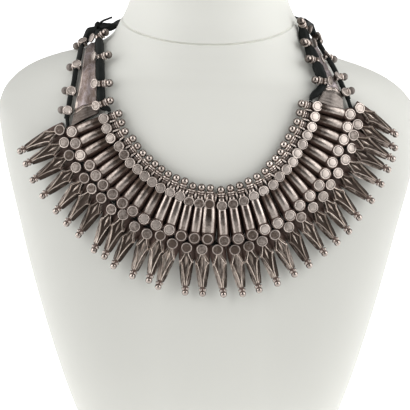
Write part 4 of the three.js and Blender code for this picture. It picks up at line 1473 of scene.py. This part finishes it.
def aimed(name, data, place, target):
    """A lamp or camera at a place, turned toward its target."""
    thing = bpy.data.objects.new(name, data)
    bpy.context.scene.collection.objects.link(thing)
    thing.location = place
    thing.rotation_euler = (Vector(target) - Vector(place)).to_track_quat("-Z", "Y").to_euler()
    return thing


def make_camera():
    data = bpy.data.cameras.new("camera")
    data.sensor_width = 36
    data.lens = LENS
    bpy.context.scene.camera = aimed("camera", data, CAMERA_PLACE, CAMERA_TARGET)


def softbox(name, place, size, power):
    data = bpy.data.lights.new(name, "AREA")
    data.shape = "RECTANGLE"
    data.size, data.size_y = size
    data.energy = power
    aimed(name, data, place, SOFTBOX_TARGET)


def make_stage(look):
    """A surround that is dark in front and pale behind, three softboxes, and a floor that glows behind."""
    scene = bpy.context.scene
    scene.view_settings.view_transform = "Standard"
    scene.world = bpy.data.worlds.new("surround")
    scene.world.use_nodes = True
    tree = scene.world.node_tree
    ahead = spread(tree, coordinates(tree, "Generated")[1]["Y"], -0.6, 0.4)
    shade = ramp(tree, ahead, ((0.0, (0.1, 0.1, 0.1)), (1.0, (1.0, 1.0, 1.0))))
    wired(tree, tree.nodes["Background"], {"Color": shade, "Strength": look.surround})

    for name, side, power in (("left", -1, look.key), ("right", 1, look.key * look.balance)):
        softbox("softbox_" + name, (side * 1.1, -0.46, 0.78), (1.65, 1.5), power)
    softbox("top_softbox", (0, 0.1, 1.5), (0.8, 0.5), look.top)

    deselect()
    bpy.ops.mesh.primitive_plane_add(size=12, location=(0, 3, 0))
    floor = bpy.context.object
    floor.name = "floor"
    floor.data.transform(Matrix.Translation(floor.location))
    floor.location = (0, 0, 0)
    tree, shader = new_material("floor_white")
    wired(tree, shader, {
        "Base Color": (0.9, 0.9, 0.9, 1),
        "Roughness": 0.9,
        "Emission Color": (1, 1, 1, 1),
        "Emission Strength": spread(tree, coordinates(tree, "Object")[1]["Y"], -0.15, 0.04),
    })
    painted(floor, ("floor_white",))


# ---- The add-on ----------------------------------------------------------------------------------------


def colour_of(name, description, default):
    return FloatVectorProperty(name=name, description=description, default=default, subtype="COLOR")


def share_of(name, description, default, most=1.0):
    words = {"name": name, "description": description, "subtype": "FACTOR"}
    return FloatProperty(default=default, min=0, max=most, **words)


def number_of(name, description, default, unit="NONE"):
    return FloatProperty(name=name, description=description, default=default, min=0, unit=unit)


class ChokerSilverLook(PropertyGroup):
    """How the silver is worn and coloured."""

    light: colour_of("Polished", "Silver where it is rubbed bright", (0.86, 0.755, 0.685))
    dark: colour_of("Tarnished", "Silver where it has darkened", (0.21, 0.15, 0.12))
    brown: colour_of("Brown tarnish", "Warmer tarnish on the bars, discs and spears", (0.24, 0.175, 0.14))
    # Its blackened colour also serves the painted shade between bars and spears and under each lower disc.
    black: colour_of("Blackened", "The deepest hollows", (0.03, 0.0185, 0.0145))
    leaf: colour_of("Leaf", "Greyer silver of the leaf terminals", (0.5, 0.44, 0.455))
    tarnish: share_of("Tarnish", "How far the tarnish has spread", 0.22, 0.6)


class ChokerCordLook(PropertyGroup):
    """The black cord."""

    colour: colour_of("Cord", "Colour of the cord's threads", (0.006, 0.007, 0.0065))


class ChokerBustLook(PropertyGroup):
    """The neck bust."""

    colour: colour_of("Cover", "Colour of the bust's cover", (0.76, 0.76, 0.71))
    roughness: share_of("Roughness", "How matt the cover is", 0.55)
    seam: number_of("Seam", "Depth of the neck's seam in millimetres", 1.3)
    sides: IntProperty(name="Sides", description="Points round the bust", default=96, min=24)


class ChokerStageLook(PropertyGroup):
    """Lights and surround."""

    key: number_of("Side lights", "Power of each side light", 14.3, "POWER")
    balance: number_of("Balance", "Right light as a share of the left", 1.08)
    top: number_of("Top light", "Power of the top light", 1.5, "POWER")
    surround: number_of("Surround", "Strength of the surround", 0.5)


class CHOKER_OT_materials(Operator):
    """Makes the silvers, the cord and the bust's cover."""

    bl_idname = "choker.materials"
    bl_label = "Make the materials"

    def execute(self, context):
        make_silvers(context.scene.choker_silver)
        make_cord_material(context.scene.choker_cord)
        make_bust_material(context.scene.choker_bust)
        return {"FINISHED"}


class CHOKER_OT_camera(Operator):
    """Sets the camera in front of the choker."""

    bl_idname = "choker.camera"
    bl_label = "Set the camera"

    def execute(self, context):
        make_camera()
        return {"FINISHED"}


class CHOKER_OT_cords(Operator):
    """Models the two cords that run through the silver."""

    bl_idname = "choker.cords"
    bl_label = "Model the cords"

    def execute(self, context):
        make_cords()
        return {"FINISHED"}


class CHOKER_OT_strands(Operator):
    """Models the four strands with their spacers."""

    bl_idname = "choker.strands"
    bl_label = "Model the strands"

    def execute(self, context):
        make_strands()
        return {"FINISHED"}


class CHOKER_OT_nape(Operator):
    """Models the cord round the nape."""

    bl_idname = "choker.nape"
    bl_label = "Model the nape cord"

    def execute(self, context):
        make_nape()
        return {"FINISHED"}


class CHOKER_OT_tie(Operator):
    """Models the lashed knot and the end of its thread."""

    bl_idname = "choker.tie"
    bl_label = "Model the tie"

    def execute(self, context):
        make_tie()
        return {"FINISHED"}


class CHOKER_OT_bars(Operator):
    """Models the thirty arched bars with their discs and balls."""

    bl_idname = "choker.bars"
    bl_label = "Model the bars"

    def execute(self, context):
        make_bars()
        return {"FINISHED"}


class CHOKER_OT_spears(Operator):
    """Models the thirty-one spears."""

    bl_idname = "choker.spears"
    bl_label = "Model the spears"

    def execute(self, context):
        make_spears()
        return {"FINISHED"}


class CHOKER_OT_terminals(Operator):
    """Models the two leaf terminals."""

    bl_idname = "choker.terminals"
    bl_label = "Model the terminals"

    def execute(self, context):
        make_terminals()
        return {"FINISHED"}


class CHOKER_OT_bust(Operator):
    """Models the neck bust."""

    bl_idname = "choker.bust"
    bl_label = "Model the bust"

    def execute(self, context):
        make_bust(context.scene.choker_bust)
        return {"FINISHED"}


class CHOKER_OT_stage(Operator):
    """Sets the lights, the surround and the floor."""

    bl_idname = "choker.stage"
    bl_label = "Set the stage"

    def execute(self, context):
        make_stage(context.scene.choker_stage)
        return {"FINISHED"}


STEPS = (
    CHOKER_OT_materials,
    CHOKER_OT_camera,
    CHOKER_OT_cords,
    CHOKER_OT_strands,
    CHOKER_OT_nape,
    CHOKER_OT_tie,
    CHOKER_OT_bars,
    CHOKER_OT_spears,
    CHOKER_OT_terminals,
    CHOKER_OT_bust,
    CHOKER_OT_stage,
)
LOOKS = {
    "choker_silver": ChokerSilverLook,
    "choker_cord": ChokerCordLook,
    "choker_bust": ChokerBustLook,
    "choker_stage": ChokerStageLook,
}


class CHOKER_PT_panel(Panel):
    """Lists the choker's sizes, colours and steps."""

    bl_idname = "CHOKER_PT_panel"
    bl_label = "Choker"
    bl_space_type = "VIEW_3D"
    bl_region_type = "UI"
    bl_category = "Choker"

    def draw(self, context):
        for group, look in LOOKS.items():
            box = self.layout.box()
            for name in look.__annotations__:
                box.prop(getattr(context.scene, group), name)
        for step in STEPS:
            self.layout.operator(step.bl_idname)


def register():
    for group, look in LOOKS.items():
        bpy.utils.register_class(look)
        setattr(bpy.types.Scene, group, PointerProperty(type=look))
    for step in (*STEPS, CHOKER_PT_panel):
        bpy.utils.register_class(step)


def unregister():
    for step in reversed((*STEPS, CHOKER_PT_panel)):
        bpy.utils.unregister_class(step)
    for group, look in LOOKS.items():
        delattr(bpy.types.Scene, group)
        bpy.utils.unregister_class(look)


def main():
    register()
    for step in STEPS:
        group, name = step.bl_idname.split(".")
        getattr(getattr(bpy.ops, group), name)()


if __name__ == "__main__":
    main()
